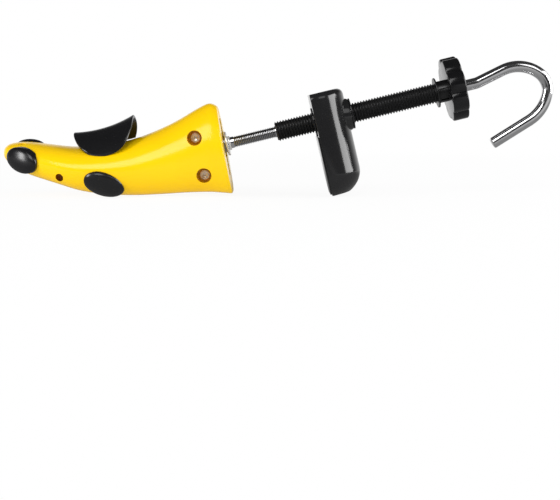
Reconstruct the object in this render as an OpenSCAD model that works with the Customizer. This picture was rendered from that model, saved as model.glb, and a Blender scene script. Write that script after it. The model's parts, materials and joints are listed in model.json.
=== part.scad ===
// Two-way shoe stretcher for a shoe with a raised heel.
// A split plastic last widens when the hooked steel rod is turned.
// A black knob turns a threaded tube, which drives the heel block away from the last.
// Origin: middle of the footprint, on the floor. X runs from toe to hook, Z is up.

/* [Last] */
// Length of the last from the toe tip to the back face, measured at the rod axis
last_length = 154.3; // [145:0.5:165]
// Height of the highest point of the last
last_height = 64; // [62:0.5:70]
// Greatest width of the closed last
last_width = 61; // [58:0.5:70]
// Roundness of the sole edge, where 1 is an ellipse and less is squarer
sole_roundness = 0.62; // [0.5:0.02:1]
// Gap between the two closed halves
seam = 0.5; // [0.4:0.1:1]

/* [Rod axis] */
// Height of the rod axis above the floor at the back face of the last
axis_z = 35.4; // [34:0.2:38]
// Upward tilt of the rod axis, degrees
axis_tilt = 13.6; // [12:0.2:15]

/* [Hooked rod] */
// Diameter of the steel rod, over its thread crests too
rod_d = 8; // [7.6:0.1:8.4]
// Pitch of the rod thread
rod_pitch = 1.25; // [1:0.05:1.5]
// Depth of the rod thread
rod_thread_depth = 0.6; // [0.4:0.05:0.8]
// Number of turns of the hook that opens the last fully
rod_turns = 10; // [6:1:12]
// Upward bend of the rod behind the knob, degrees
neck_bend = 12.85; // [5:0.05:20]
// Centreline radius of that bend
neck_bend_r = 12; // [9:1:20]
// Length of the straight neck between the bend and the hook
neck_length = 18.5; // [15:0.5:30]
// Centreline radius where the hook starts to turn
hook_r1 = 25; // [20:0.5:30]
// Centreline radius at the hook's nose
hook_r2 = 15; // [12:0.5:20]
// Centreline radius where the hook turns back
hook_r3 = 26; // [20:0.5:30]
// Straight length at the hook's tip
tip_length = 30; // [15:1:40]

/* [Threaded tube and knob] */
// Outside diameter of the tube thread
tube_d = 14; // [13.4:0.1:14.6]
// Pitch of the tube thread
tube_pitch = 2; // [1.5:0.1:2.5]
// Depth of the tube thread
tube_thread_depth = 1; // [0.8:0.05:1.2]
// Diameter of the plain neck between the ring and the knob
neck_d = 15.2; // [14.8:0.1:17]
// Length of that neck
neck_run = 6.2; // [4:0.2:10]
// Diameter of the stop ring on the tube
ring_d = 20.8; // [18:0.2:24]
// Thickness of the stop ring
ring_t = 1.1; // [0.8:0.1:2]
// Diameter of the knob over its lobes
knob_d = 44.5; // [38:0.5:50]
// Thickness of the knob
knob_t = 11.2; // [9:0.2:14]
// Number of lobes on the knob
knob_lobes = 8; // [6:1:10]
// Radius of one lobe
knob_lobe_r = 10.5; // [9.5:0.25:12]

/* [Heel block] */
// Distance from the back face of the last to the front of the heel block
heel_start = 65.2; // [63:0.2:70]
// Depth of the heel block from its flat front to its rounded back
heel_depth = 23.8; // [23:0.2:26]
// Height of the heel block above the rod axis
heel_rise = 19.5; // [17:0.5:24]
// Radius of the rounded back of the block's lower end
heel_toe_r = 12; // [8:0.5:16]
// Wall of the hollow heel block
heel_wall = 4.6; // [3.5:0.1:5]
// How far the cover and the nut flange stand proud of the front
heel_proud = 1; // [0.6:0.1:1.4]
// Outside diameter of the nut in the heel block
nut_d = 19; // [18:0.2:20]
// Travel of the heel block toward the last
heel_in = 24; // [10:1:26]
// Travel of the heel block toward the knob
heel_out = 56; // [30:1:58]

/* [Spreading gear] */
// Distance of the hinge axis in front of the back face
pivot_in = 8; // [7.5:0.25:9]
// Opening angle of each half, degrees
open_angle = 6; // [4:0.25:6.5]
// Distance from the hinge axis to the closed spreader
spreader_arm = 30; // [28:0.5:34]
// Half of the spreader's width across its rounded noses
spreader_reach = 9; // [8.6:0.1:9.6]
// Height of the spreader
spreader_h = 25.6; // [22:0.2:28]
// Diameter of the hinge pins
pin_d = 5; // [4:0.1:5.6]
// Outside diameter of the hinge knuckles
knuckle_d = 12.2; // [11:0.1:12.6]
// Thickness of the steel hinge leaves
leaf_t = 1.6; // [1.2:0.1:2]
// Diameter of the steel washer behind the last
washer_d = 17; // [15:0.5:19]
// Thickness of that washer
washer_t = 1.5; // [1:0.1:2]
// Distance from the hinge axis to the return spring
spring_arm = 64; // [62:1:68]
// Outside diameter of the return spring
spring_d = 6; // [5:0.2:7]

/* [Screws] */
// Diameter of the deep screw holes in the flanks
screw_well_d = 10.3; // [9:0.1:11]
// Diameter of the screw heads
screw_head_d = 7; // [6:0.1:8]
// Diameter of the screw shanks
screw_d = 4; // [3:0.1:4.4]

/* [Plugs and pad] */
// Diameter of the holes that hold plugs and pad
hole_d = 5.5; // [5:0.1:6]
// Depth of the holes in the flanks
hole_depth = 8; // [6:0.5:10]
// Length of the pad along the last
pad_length = 43.6; // [38:0.2:48]
// Width of the pad across the last
pad_width = 50; // [46:0.5:52]
// Drop of the pad's arch from its ridge to its rims
pad_drop = 17.3; // [16:0.1:18]
// Thickness of the pad
pad_t = 2.2; // [1.6:0.1:2.6]
// Rise of a plug above the surface of the last
plug_rise = 3; // [2.4:0.1:3.6]

/* [Hidden] */
$fn = 64;

// Clearances shared by the pieces
gap = 0.3;
run_gap = 0.06;
eps = 0.01;

// The last is a loft. A row holds the top point, the bottom point and the half width of one section:
// top x, top z, bottom x, bottom z, half width, as shares of the length, the height and the half width.
last_rows = [
    [0.000, 0.484, 0.001, 0.430, 0.17],
    [0.013, 0.538, 0.017, 0.373, 0.40],
    [0.045, 0.569, 0.052, 0.312, 0.60],
    [0.110, 0.578, 0.123, 0.225, 0.78],
    [0.214, 0.550, 0.240, 0.134, 0.91],
    [0.324, 0.527, 0.356, 0.050, 0.98],
    [0.441, 0.545, 0.473, 0.012, 1.00],
    [0.557, 0.592, 0.593, 0.001, 0.97],
    [0.668, 0.681, 0.713, 0.012, 0.92],
    [0.778, 0.802, 0.826, 0.028, 0.87],
    [0.878, 0.942, 0.927, 0.034, 0.83],
    [0.931, 0.998, 0.979, 0.028, 0.815],
    [0.969, 0.968, 1.040, 0.016, 0.80]
];
row_scale = [last_length, last_height, last_length, last_height, last_width / 2];
row_steps = 3;
section_steps = 14;
last_row = len(last_rows) - 1;

function row_at(s) =
    let (i = min(floor(s), last_row - 1), t = s - i)
    let (a = last_rows[max(i - 1, 0)], b = last_rows[i], c = last_rows[i + 1], d = last_rows[min(i + 2, last_row)])
    let (r = (2 * b + (c - a) * t + (2 * a - 5 * b + 4 * c - d) * t * t + (3 * b - a - 3 * c + d) * t * t * t) / 2)
    [for (k = [0 : 4]) r[k] * row_scale[k]];

// One point of a section, where turn goes from 0 at the top over the flank to 180 at the sole
function section_point(r, turn, grow) =
    let (mid = [(r[0] + r[2]) / 2, (r[1] + r[3]) / 2], up = [(r[0] - r[2]) / 2, (r[1] - r[3]) / 2])
    let (lift = cos(turn) * (1 + grow / norm(up)))
    let (round_power = turn < 90 ? 1 : sole_roundness)
    let (side = (r[4] + grow - seam / 2) * pow(max(sin(turn), 0), round_power))
    [toe_x + mid[0] + up[0] * lift, seam / 2 + side, mid[1] + up[1] * lift];

// The path of the hook from the end of the straight rod: length, or bend radius and angle.
// A negative radius bends up, a positive one down.
hook_angles = [61, 63, 50];
hook_path = [
    [0, -neck_bend_r, neck_bend],
    [neck_length, 0, 0],
    [0, hook_r1, hook_angles[0]],
    [0, hook_r2, hook_angles[1]],
    [0, hook_r3, hook_angles[2]],
    [tip_length, 0, 0]
];

// Position and heading before a step of the hook path: u, w, angle above the rod axis
function path_state(k) =
    k == 0 ? [neck_u, 0, 0] :
    let (s = path_state(k - 1), run = hook_path[k - 1][0], r = hook_path[k - 1][1], a = hook_path[k - 1][2])
    r == 0 ? [s[0] + run * cos(s[2]), s[1] + run * sin(s[2]), s[2]] :
    let (side = r < 0 ? 1 : -1, q = abs(r), e = s[2] + side * a)
    [s[0] + side * q * (sin(e) - sin(s[2])), s[1] - side * q * (cos(e) - cos(s[2])), e];

// Places along the rod axis, from the back face of the last
rod_r = rod_d / 2;
tube_r = tube_d / 2;
nut_lip_t = 1;
boss_end = heel_start + heel_depth + 2.2;
tube_start = heel_start - heel_proud - heel_in - 2.8;
tube_end = boss_end + nut_lip_t + heel_out + 3.2;
ring_u = tube_end + 0.7;
neck_start = ring_u + ring_t + 0.2;
knob_u = neck_start + neck_run;
knob_end = knob_u + knob_t;
snap_t = 1;
snap_d = 10;
neck_u = knob_end + 9.4;
pivot_u = -pivot_in;
screw_u = -17.6;
screw_w = [9.5, -16.9];
block_half = 5;
block_h = 12;
block_w = 12.4;
thrust_u = pivot_u - block_half - 0.4 - snap_t;
washer_u = 1.3;
collar_t = 3;
collar_d = 11.4;
nose_r = 3;
nut_half = 4;
spread_travel = rod_turns * rod_pitch;
spreader_u = pivot_u - spreader_arm;
spreader_far_u = spreader_u - spread_travel;
end_nut_d = 12.6;
end_nut_t = 4;
end_nut_u = spreader_far_u - nut_half - 3 - end_nut_t;
rod_tip_u = end_nut_u - 1.5;
knuckle_h = 5;
knuckle_w = [block_h / 2 + 0.6, block_h / 2 + 6];
leaf_y = 6.5;
leaf_back = pivot_u - knuckle_d / 2 - 1;
leaf_front = pivot_u - 18;
leaf_span = [-21.5, 17];
pocket_y = leaf_y + 0.05;
pin_reach = knuckle_w[1] + knuckle_h + 0.8;
pin_seat = 5;
screw_seat = 10.5;
screw_head_h = 3;
spring_u = pivot_u - spring_arm;
spring_half = 6;
spring_pin_y = 9.2;
spring_pin_d = 2.6;
spring_wire = 0.8;
spring_pin_reach = 7;

// Back face of the last on the rod axis, from the last row of the loft
back_row = [for (k = [0 : 4]) last_rows[last_row][k] * row_scale[k]];
back_share = (axis_z - back_row[3]) / (back_row[1] - back_row[3]);
back_x = back_row[2] + (back_row[0] - back_row[2]) * back_share;

// The hook's nose is the rearmost point, and the origin lies halfway between it and the toe
nose_state = path_state(3);
nose_centre = [
    nose_state[0] + hook_r2 * sin(nose_state[2]),
    nose_state[1] - hook_r2 * cos(nose_state[2])
];
nose_x = nose_centre[0] * cos(axis_tilt) - nose_centre[1] * sin(axis_tilt) + hook_r2 + rod_r;
toe_x = -(back_x + nose_x) / 2;
axis_x = toe_x + back_x;

// The lower end of the heel block stands on the floor
heel_low = -(axis_z + heel_start * sin(axis_tilt)) / cos(axis_tilt);
cover_top = -10.5;
cavity_r = heel_depth - heel_wall;

// Holes in the flanks, as shares of the length and the height: x and z
flank_holes = [[0.100, 0.389], [0.278, 0.214], [0.475, 0.147]];
toe_top_hole = [0.092, 10];
stud_d = hole_d - 0.2;
stud_gap = 0.5;
plug_bulge = 1.4;
plug_skirt = 4;
pad_pitch = 16.7;
pad_roll = 12;
pad_x = toe_x + 0.4485 * last_length;
pad_y = 8;
pad_z = 0.735 * last_height;
pad_hole_low = 24;
pad_stud_drop = 2.9;
saddle_x = toe_x + 0.457 * last_length;
saddle_z = 0.7366 * last_height;
saddle_sag = 0.0059;
saddle_clear = 0.6;

// Moves things into the frame of the rod: x along the rod, z across it in the upright plane
module on_axis() {
    translate([axis_x, 0, axis_z]) rotate([0, -axis_tilt, 0]) children();
}

// A cylinder along the rod from one place to another
module along_rod(from, to, r) {
    translate([from, 0, 0]) rotate([0, 90, 0]) cylinder(h = to - from, r = r);
}

// A box given by its ranges
module range_box(x, y, z) {
    translate([x[0], y[0], z[0]]) cube([x[1] - x[0], y[1] - y[0], z[1] - z[0]]);
}

// The outer form of the far half of the last, or of some of its rows, grown by an amount
module last_loft(grow = 0, from = 0, to = last_row) {
    rings = round((to - from) * row_steps);
    per = section_steps + 1;
    points = [
        for (i = [0 : rings])
        for (k = [0 : section_steps])
        section_point(row_at(from + i / row_steps), 180 * k / section_steps, grow)
    ];
    flank = [
        for (i = [0 : rings - 1])
        for (k = [0 : section_steps - 1])
        for (f = [[0, 1, per + 1], [0, per + 1, per]])
        [for (v = f) i * per + k + v]
    ];
    split_face = [
        for (i = [0 : rings - 1])
        for (f = [[0, per, section_steps], [per, per + section_steps, section_steps]])
        [for (v = f) i * per + v]
    ];
    toe_cap = [for (k = [1 : section_steps - 1]) [0, k + 1, k]];
    back_cap = [for (k = [1 : section_steps - 1]) [rings * per, rings * per + k, rings * per + k + 1]];
    polyhedron(points, concat(flank, split_face, toe_cap, back_cap));
}

// The cam face that the spreader's nose follows, seen from above in the frame of the closed half.
// It keeps one ratio between travel and angle: the nose centre is turned back by the opening angle.
function cam_point(travel) =
    let (a = open_angle * travel / spread_travel, arm = spreader_arm + travel, y = spreader_reach - nose_r)
    [pivot_u - (arm * cos(a) + y * sin(a)), y * cos(a) - arm * sin(a)];

cam_steps = 6;
cam_grow = nose_r + gap;
cam_face = [
    for (i = [0 : cam_steps])
    let (t = spread_travel * i / cam_steps, p = cam_point(t), q = cam_point(t + 0.1), d = (q - p) / norm(q - p))
    p + cam_grow * [d[1], -d[0]]
];

// Everything that is cut out of one half for the gear inside, in the frame of the rod
module gear_pocket() {
    cam_depth = spreader_reach + gap;
    // Slot for the hinge leaf and the knuckles
    range_box([leaf_front - 0.5, 10], [-1, pocket_y], [leaf_span[0] - 0.4, pin_reach + 0.4]);
    // Room for the trunnion block, its boss and the rod collars
    range_box([thrust_u - 1, 10], [-1, 8.3], [-9, 9]);
    // Room for the spreader's nut and the rod beyond it
    range_box([end_nut_u - 1, leaf_front], [-1, 7], [-spreader_h / 4 - gap - 0.3, spreader_h / 4 + gap + 0.3]);
    along_rod(rod_tip_u - 1.5, 0, rod_r + 0.8);
    // Cam pocket for the spreader's noses
    translate([0, 0, -spreader_h / 2 - 0.5])
    linear_extrude(spreader_h + 1)
    polygon(concat(
        [[leaf_front + 1, -1], [leaf_front + 1, cam_depth], [cam_face[0][0] + 0.5, cam_depth]],
        cam_face,
        [[spreader_far_u - nose_r - 1.4, cam_face[cam_steps][1] - 1], [spreader_far_u - nose_r - 1.4, -1]]
    ));
    // The inner face falls back behind the hinge, so that the halves can swing
    translate([0, 0, -60])
    linear_extrude(120)
    polygon([[pivot_u, -1], [pivot_u, seam / 2], [12, seam / 2 + (12 + pivot_in) * tan(open_angle + 1)], [12, -1]]);
    // Channel of the return spring, and the hole of its pin
    translate([spring_u, -1, 0]) rotate([-90, 0, 0]) cylinder(h = spring_pin_y + 4.2, r = spring_d / 2 + 1);
    translate([spring_u, spring_pin_y, -spring_pin_reach - eps])
    cylinder(h = 2 * (spring_pin_reach + eps), d = spring_pin_d + 2 * eps);
    // Deep wells and shank holes of the two screws
    for (w = screw_w) translate([screw_u, 0, w]) rotate([-90, 0, 0]) {
        translate([0, 0, screw_seat]) cylinder(h = 40, d = screw_well_d);
        cylinder(h = 20, d = screw_d + 0.4);
    }
}

// The holes that hold plugs and pad, on the far side
module accessory_holes() {
    for (i = [0 : 2])
    translate([toe_x + flank_holes[i][0] * last_length, flank_floor(i), flank_holes[i][1] * last_height])
    rotate([-90, 0, 0]) cylinder(h = 40, d = hole_d);
    translate([toe_x + toe_top_hole[0] * last_length, toe_top_hole[1], toe_top_floor])
    cylinder(h = 40, d = hole_d);
    mirror([0, 1, 0]) on_pad() translate([0, 0, -pad_hole_low]) cylinder(h = 60, d = hole_d);
}

// Half width of the last at a hole, found on the section through it
function hole_row(x) = hole_row_from(x, 0);
function hole_row_from(x, s) =
    let (r = row_at(s))
    (r[0] + r[2]) / 2 >= x || s > last_row - 0.1 ? s : hole_row_from(x, s + 0.1);
function flank_y(i) =
    let (r = row_at(hole_row(flank_holes[i][0] * last_length)))
    let (lift = (flank_holes[i][1] * last_height - (r[1] + r[3]) / 2) / ((r[1] - r[3]) / 2))
    let (turn = acos(lift))
    seam / 2 + (r[4] - seam / 2) * pow(sin(turn), turn < 90 ? 1 : sole_roundness);
function flank_floor(i) = flank_y(i) - hole_depth;
toe_top_floor = 0.578 * last_height - hole_depth;

module far_half_form() {
    difference() {
        last_loft();
        on_axis() gear_pocket();
        accessory_holes();
    }
}

module far_half() {
    color("gold") far_half_form();
}

module near_half() {
    color("gold") mirror([0, 1, 0]) far_half_form();
}

// A hinge leaf with two knuckles. The inner one starts at one of the two knuckle places.
module hinge_leaf(place) {
    difference() {
        union() {
            range_box([leaf_front, leaf_back], [leaf_y - leaf_t, leaf_y], leaf_span);
            for (side = [-1, 1]) {
                low = side > 0 ? knuckle_w[place] : -knuckle_w[place] - knuckle_h;
                translate([pivot_u, 0, low]) cylinder(h = knuckle_h, d = knuckle_d);
                range_box([leaf_back - 1, pivot_u], [leaf_y - leaf_t, leaf_y], [low, low + knuckle_h]);
            }
        }
        translate([pivot_u, 0, -40]) cylinder(h = 80, d = pin_d + 2 * run_gap);
        for (w = screw_w) translate([screw_u, 0, w]) rotate([-90, 0, 0]) cylinder(h = 20, d = screw_d + 2 * eps);
    }
}

module near_hinge_leaf() {
    color("silver") on_axis() mirror([0, 1, 0]) hinge_leaf(0);
}

module far_hinge_leaf() {
    color("silver") on_axis() hinge_leaf(1);
}

// The two socket screws that hold a leaf to its half
module leaf_screws() {
    for (w = screw_w) translate([screw_u, 0, w]) rotate([-90, 0, 0]) difference() {
        union() {
            translate([0, 0, leaf_y - leaf_t]) cylinder(h = screw_seat - leaf_y + leaf_t + eps, d = screw_d);
            translate([0, 0, screw_seat]) cylinder(h = screw_head_h, d = screw_head_d);
        }
        translate([0, 0, screw_seat + 0.8]) cylinder(h = screw_head_h, d = screw_head_d * 0.6, $fn = 6);
    }
}

module near_screws() {
    color("silver") on_axis() mirror([0, 1, 0]) leaf_screws();
}

module far_screws() {
    color("silver") on_axis() leaf_screws();
}

// The block that the rod turns in. Its boss reaches back to the washer.
module trunnion_block() {
    color("gray") on_axis() difference() {
        union() {
            range_box([pivot_u - block_half, pivot_u + block_half], [-block_w / 2, block_w / 2], [-block_h / 2, block_h / 2]);
            along_rod(pivot_u + block_half - eps, washer_u, block_h / 2);
        }
        along_rod(pivot_u - 20, 20, rod_r + run_gap);
        for (side = [-1, 1]) translate([pivot_u, 0, side > 0 ? pin_seat : -block_h / 2 - 1])
        cylinder(h = block_h / 2 + 1 - pin_seat, d = pin_d + 2 * eps);
    }
}

module upper_hinge_pin() {
    color("silver") on_axis() translate([pivot_u, 0, pin_seat]) cylinder(h = pin_reach - pin_seat, d = pin_d);
}

module lower_hinge_pin() {
    color("silver") on_axis() translate([pivot_u, 0, -pin_reach]) cylinder(h = pin_reach - pin_seat, d = pin_d);
}

module rod_washer() {
    color("silver") on_axis() difference() {
        along_rod(washer_u, washer_u + washer_t, washer_d / 2);
        along_rod(washer_u - 1, washer_u + washer_t + 1, rod_r + run_gap);
    }
}

// A flat ring that sits in a groove of the rod
module rod_ring(u, d) {
    difference() {
        along_rod(u, u + snap_t, d / 2);
        along_rod(u - 1, u + snap_t + 1, rod_r - rod_thread_depth + eps);
    }
}

module thrust_ring() {
    color("silver") on_axis() rod_ring(thrust_u, snap_d + 1.6);
}

module rod_collar() {
    u = washer_u + washer_t + 0.1;
    color("silver") on_axis() difference() {
        along_rod(u, u + collar_t, collar_d / 2);
        along_rod(u - 1, u + collar_t + 1, rod_r + eps);
    }
}

// The nut that wedges the halves apart, with two rounded noses above and two below the rod
module spreader() {
    y = spreader_reach - nose_r;
    color("gray") on_axis() translate([spreader_u, 0, 0]) difference() {
        union() {
            range_box([-nut_half, nut_half], [-6.4, 6.4], [-spreader_h / 4, spreader_h / 4]);
            for (low = [-spreader_h / 2, spreader_h / 4]) translate([0, 0, low]) linear_extrude(spreader_h / 4) {
                square([2 * nose_r, 2 * y], center = true);
                for (side = [-1, 1]) translate([0, side * y]) circle(r = nose_r);
            }
        }
        along_rod(-20, 20, rod_r + run_gap);
    }
}

// Closed outer form of the spring's coils, with an eye at each end round its pin
module return_spring() {
    eye_r = spring_pin_d / 2 + 0.2 + spring_wire / 2;
    color("silver") on_axis() translate([spring_u, 0, 0]) {
        rotate([-90, 0, 0]) translate([0, 0, -spring_half]) difference() {
            cylinder(h = 2 * spring_half, d = spring_d);
            translate([0, 0, spring_wire]) cylinder(h = 2 * (spring_half - spring_wire), d = spring_d - 2 * spring_wire);
        }
        for (side = [-1, 1]) {
            translate([0, side * spring_pin_y, 0])
            rotate_extrude() translate([eye_r, 0]) circle(d = spring_wire, $fn = 16);
            translate([0, side > 0 ? spring_half - 0.2 : -spring_pin_y + eye_r, 0]) rotate([-90, 0, 0])
            cylinder(h = spring_pin_y - eye_r - spring_half + 0.2, d = spring_wire, $fn = 16);
        }
    }
}

module spring_pin(side) {
    color("silver") on_axis() translate([spring_u, side * spring_pin_y, -spring_pin_reach])
    cylinder(h = 2 * spring_pin_reach, d = spring_pin_d);
}

module near_spring_pin() {
    spring_pin(-1);
}

module far_spring_pin() {
    spring_pin(1);
}

// Outline of a thread between two places, as points of radius and place
function thread_outline(from, to, r, depth, pitch) = [
    for (i = [0 : floor((to - from) / pitch) - 1])
    for (p = [[r - depth, 0.05], [r, 0.45], [r, 0.55], [r - depth, 0.95]])
    [p[0], from + (i + p[1]) * pitch]
];

// A solid of revolution about the rod axis from its half outline
module turned(outline) {
    rotate([0, 90, 0]) rotate_extrude() polygon(outline);
}

// States along the bent part of the rod, a few in each bend and the ends of each straight
function state_along(k, share) =
    let (s = path_state(k), run = hook_path[k][0], r = hook_path[k][1], a = hook_path[k][2] * share)
    let (side = r < 0 ? 1 : -1, q = abs(r), e = s[2] + side * a)
    r == 0 ? [s[0] + share * run * cos(s[2]), s[1] + share * run * sin(s[2]), s[2]]
    : [s[0] + side * q * (sin(e) - sin(s[2])), s[1] - side * q * (cos(e) - cos(s[2])), e];

bend_step = 8;
hook_states = concat(
    [[neck_u - 0.5, 0, 0]],
    [
        for (k = [0 : len(hook_path) - 1])
        let (n = max(1, ceil(hook_path[k][2] / bend_step)))
        for (i = [1 : n])
        state_along(k, i / n)
    ]
);

// The bent part of the rod, with a small chamfer at its tip.
// It is a hair thinner than the straight rod, so that its flats start inside the rod's end face.
module hook_sweep() {
    sides = 24;
    chamfer = 0.8;
    bent_r = rod_r - 5 * eps;
    last_state = hook_states[len(hook_states) - 1];
    tip_state = [
        last_state[0] + chamfer * cos(last_state[2]),
        last_state[1] + chamfer * sin(last_state[2]),
        last_state[2]
    ];
    states = concat(hook_states, [tip_state]);
    last_ring = len(states) - 1;
    points = [
        for (i = [0 : last_ring])
        let (s = states[i], r = i == last_ring ? bent_r - chamfer : bent_r)
        for (k = [0 : sides - 1])
        let (a = 360 * k / sides)
        [s[0] - r * cos(a) * sin(s[2]), r * sin(a), s[1] + r * cos(a) * cos(s[2])]
    ];
    wall = [
        for (i = [0 : last_ring - 1])
        for (k = [0 : sides - 1])
        let (a = i * sides + k, b = i * sides + (k + 1) % sides)
        for (f = [[a, b, b + sides], [a, b + sides, a + sides]])
        f
    ];
    start_cap = [for (k = [1 : sides - 2]) [0, k + 1, k]];
    tip_cap = [for (k = [1 : sides - 2]) [last_ring * sides, last_ring * sides + k, last_ring * sides + k + 1]];
    polyhedron(points, concat(wall, start_cap, tip_cap));
}

module hook_rod() {
    core = rod_r - rod_thread_depth;
    thread_start = washer_u + washer_t + collar_t + 1;
    front_thread_end = thrust_u - 0.5;
    color("silver") on_axis() {
        turned(concat(
            [[0, rod_tip_u], [core, rod_tip_u]],
            thread_outline(rod_tip_u + 0.3, front_thread_end, rod_r, rod_thread_depth, rod_pitch),
            [[core, thrust_u + snap_t + eps], [rod_r, thrust_u + snap_t + eps], [rod_r, thread_start]],
            thread_outline(thread_start + 0.3, tube_start - 0.3, rod_r, rod_thread_depth, rod_pitch),
            [[core, tube_start + 0.2], [core, tube_start + 0.2 + snap_t + 2 * eps]],
            [[rod_r, tube_start + 0.2 + snap_t + 2 * eps], [rod_r, rear_snap_u - eps]],
            [[core, rear_snap_u - eps], [core, rear_snap_u + snap_t + eps], [rod_r, rear_snap_u + snap_t + eps]],
            [[rod_r, neck_u], [0, neck_u]]
        ));
        hook_sweep();
    }
}

rear_snap_u = knob_end - 1.3;

module rod_end_nut() {
    color("silver") on_axis() difference() {
        translate([end_nut_u, 0, 0]) rotate([0, 90, 0]) cylinder(h = end_nut_t, d = end_nut_d, $fn = 6);
        along_rod(end_nut_u - 1, end_nut_u + end_nut_t + 1, rod_r + eps);
    }
}

module thread_tube() {
    root = tube_r - tube_thread_depth;
    journal = tube_r - 0.5;
    bore = rod_r + run_gap + 0.02;
    color("black") on_axis() turned(concat(
        [[snap_d / 2 + 0.1, tube_start], [root, tube_start]],
        thread_outline(tube_start + 0.4, tube_end, tube_r, tube_thread_depth, tube_pitch),
        [[root, neck_start], [neck_d / 2, neck_start], [neck_d / 2, knob_u], [journal, knob_u]],
        [[journal, knob_end - 3.2], [bore, knob_end - 3.2], [bore, tube_start + 1.5]],
        [[snap_d / 2 + 0.1, tube_start + 1.5]]
    ));
}

// The ring that stops the heel block in front of the knob
module tube_stop_ring() {
    color("black") on_axis() difference() {
        along_rod(ring_u, ring_u + ring_t, ring_d / 2);
        along_rod(ring_u - 1, ring_u + ring_t + 1, tube_r - tube_thread_depth + eps);
    }
}

// Two rings in grooves of the rod, one in each end of the tube and knob
module tube_snap_rings() {
    color("silver") on_axis() {
        rod_ring(tube_start + 0.2 + eps, snap_d);
        rod_ring(rear_snap_u, snap_d);
    }
}

module knob() {
    lobe_out = knob_d / 2 - knob_lobe_r;
    edge_r = 1.2;
    half = knob_t / 2;
    color("black") on_axis() translate([knob_u, 0, 0]) difference() {
        intersection() {
            rotate([0, 90, 0]) linear_extrude(knob_t) {
                circle(r = knob_d / 2 - 4);
                for (i = [0 : knob_lobes - 1]) rotate([0, 0, 360 * (i + 0.7) / knob_lobes])
                translate([lobe_out, 0]) circle(r = knob_lobe_r);
            }
            rotate([0, 90, 0]) rotate_extrude() {
                square([knob_d / 2 - edge_r, knob_t]);
                translate([0, edge_r]) square([knob_d / 2, knob_t - 2 * edge_r]);
                for (z = [edge_r, knob_t - edge_r]) translate([knob_d / 2 - edge_r, z]) circle(r = edge_r);
            }
        }
        along_rod(-1, knob_t - 3, tube_r - 0.5 + eps);
        along_rod(half, knob_t + 1, snap_d / 2 + 0.2);
    }
}

// Half-round plan of the heel block: flat in front, round behind
module heel_plan(r) {
    translate([heel_start, 0]) intersection() {
        circle(r = r);
        translate([0, -r]) square([r, 2 * r]);
    }
}

// Side outline of the heel block: its lower back and upper back corners are round
module heel_side() {
    back = heel_start + heel_depth;
    top_r = 4.5;
    difference() {
        translate([heel_start, heel_low]) square([heel_depth, heel_rise - heel_low]);
        translate([back - heel_toe_r, heel_low - 1]) difference() {
            square([heel_toe_r + 1, heel_toe_r + 1]);
            translate([0, heel_toe_r + 1]) circle(r = heel_toe_r);
        }
        translate([back - top_r, heel_rise - top_r]) difference() {
            square([top_r + 1, top_r + 1]);
            circle(r = top_r);
        }
    }
}

module heel_block() {
    floor_w = heel_low + heel_wall + 0.8;
    color("black") on_axis() difference() {
        union() {
            intersection() {
                translate([0, 0, heel_low - 1]) linear_extrude(heel_rise - heel_low + 2) heel_plan(heel_depth);
                translate([0, 50, 0]) rotate([90, 0, 0]) linear_extrude(100) heel_side();
            }
            translate([heel_start + 8, 0, 0]) rotate([0, 90, 0])
            cylinder(h = boss_end - heel_start - 8, r1 = nut_d / 2 + 3.6, r2 = nut_d / 2 + 0.9);
        }
        along_rod(heel_start - 1, boss_end + 1, nut_d / 2 + eps);
        translate([0, 0, floor_w]) linear_extrude(cover_top - 2 - floor_w) {
            heel_plan(cavity_r);
            translate([heel_start - 1, 2 - cavity_r]) square([2, 2 * cavity_r - 4]);
        }
    }
}

// Threaded bush in the heel block, with a flange in front and a lip behind
module heel_nut() {
    color("black") on_axis() difference() {
        union() {
            along_rod(heel_start - heel_proud, heel_start - eps, -cover_top - gap);
            along_rod(heel_start - eps, boss_end, nut_d / 2);
            along_rod(boss_end + eps, boss_end + nut_lip_t, nut_d / 2 + 1.3);
            along_rod(boss_end - 1, boss_end + 0.5, nut_d / 2);
        }
        along_rod(heel_start - 5, boss_end + 5, tube_r + run_gap);
    }
}

module heel_cover() {
    lip = cavity_r - 2.2;
    plate = heel_depth - 1.2;
    floor_w = heel_low + heel_wall + 0.8;
    color("black") on_axis() {
        range_box([heel_start - heel_proud, heel_start - eps], [-plate, plate], [heel_low + 1.4, cover_top]);
        range_box([heel_start - 2 * eps, heel_start + 2.4], [-lip, lip], [floor_w + 0.2, cover_top - 2.2]);
    }
}

// A low dome with its top on the Z axis. It goes on below its rim, where the last cuts it off.
module dome(length, width, rise) {
    rings = 6;
    round_steps = 24;
    depth = rise * plug_bulge;
    cap = [for (i = [1 : rings]) let (t = 90 * i / rings) [sin(t), rise - depth * (1 - cos(t))]];
    levels = concat(cap, [[1, rise - depth - plug_skirt]]);
    last_level = len(levels) - 1;
    points = concat(
        [[0, 0, rise]],
        [
            for (level = levels)
            for (k = [0 : round_steps - 1])
            let (a = 360 * k / round_steps)
            [length / 2 * level[0] * cos(a), width / 2 * level[0] * sin(a), level[1]]
        ],
        [[0, 0, rise - depth - plug_skirt]]
    );
    tip = [for (k = [0 : round_steps - 1]) [0, 1 + (k + 1) % round_steps, 1 + k]];
    body = [
        for (i = [0 : last_level - 1])
        for (k = [0 : round_steps - 1])
        let (a = 1 + i * round_steps + k, b = 1 + i * round_steps + (k + 1) % round_steps)
        for (f = [[a, b, b + round_steps], [a, b + round_steps, a + round_steps]])
        f
    ];
    foot = 1 + last_level * round_steps;
    base = [for (k = [0 : round_steps - 1]) [foot + k, foot + (k + 1) % round_steps, foot + round_steps]];
    polyhedron(points, concat(tip, body, base));
}

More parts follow.
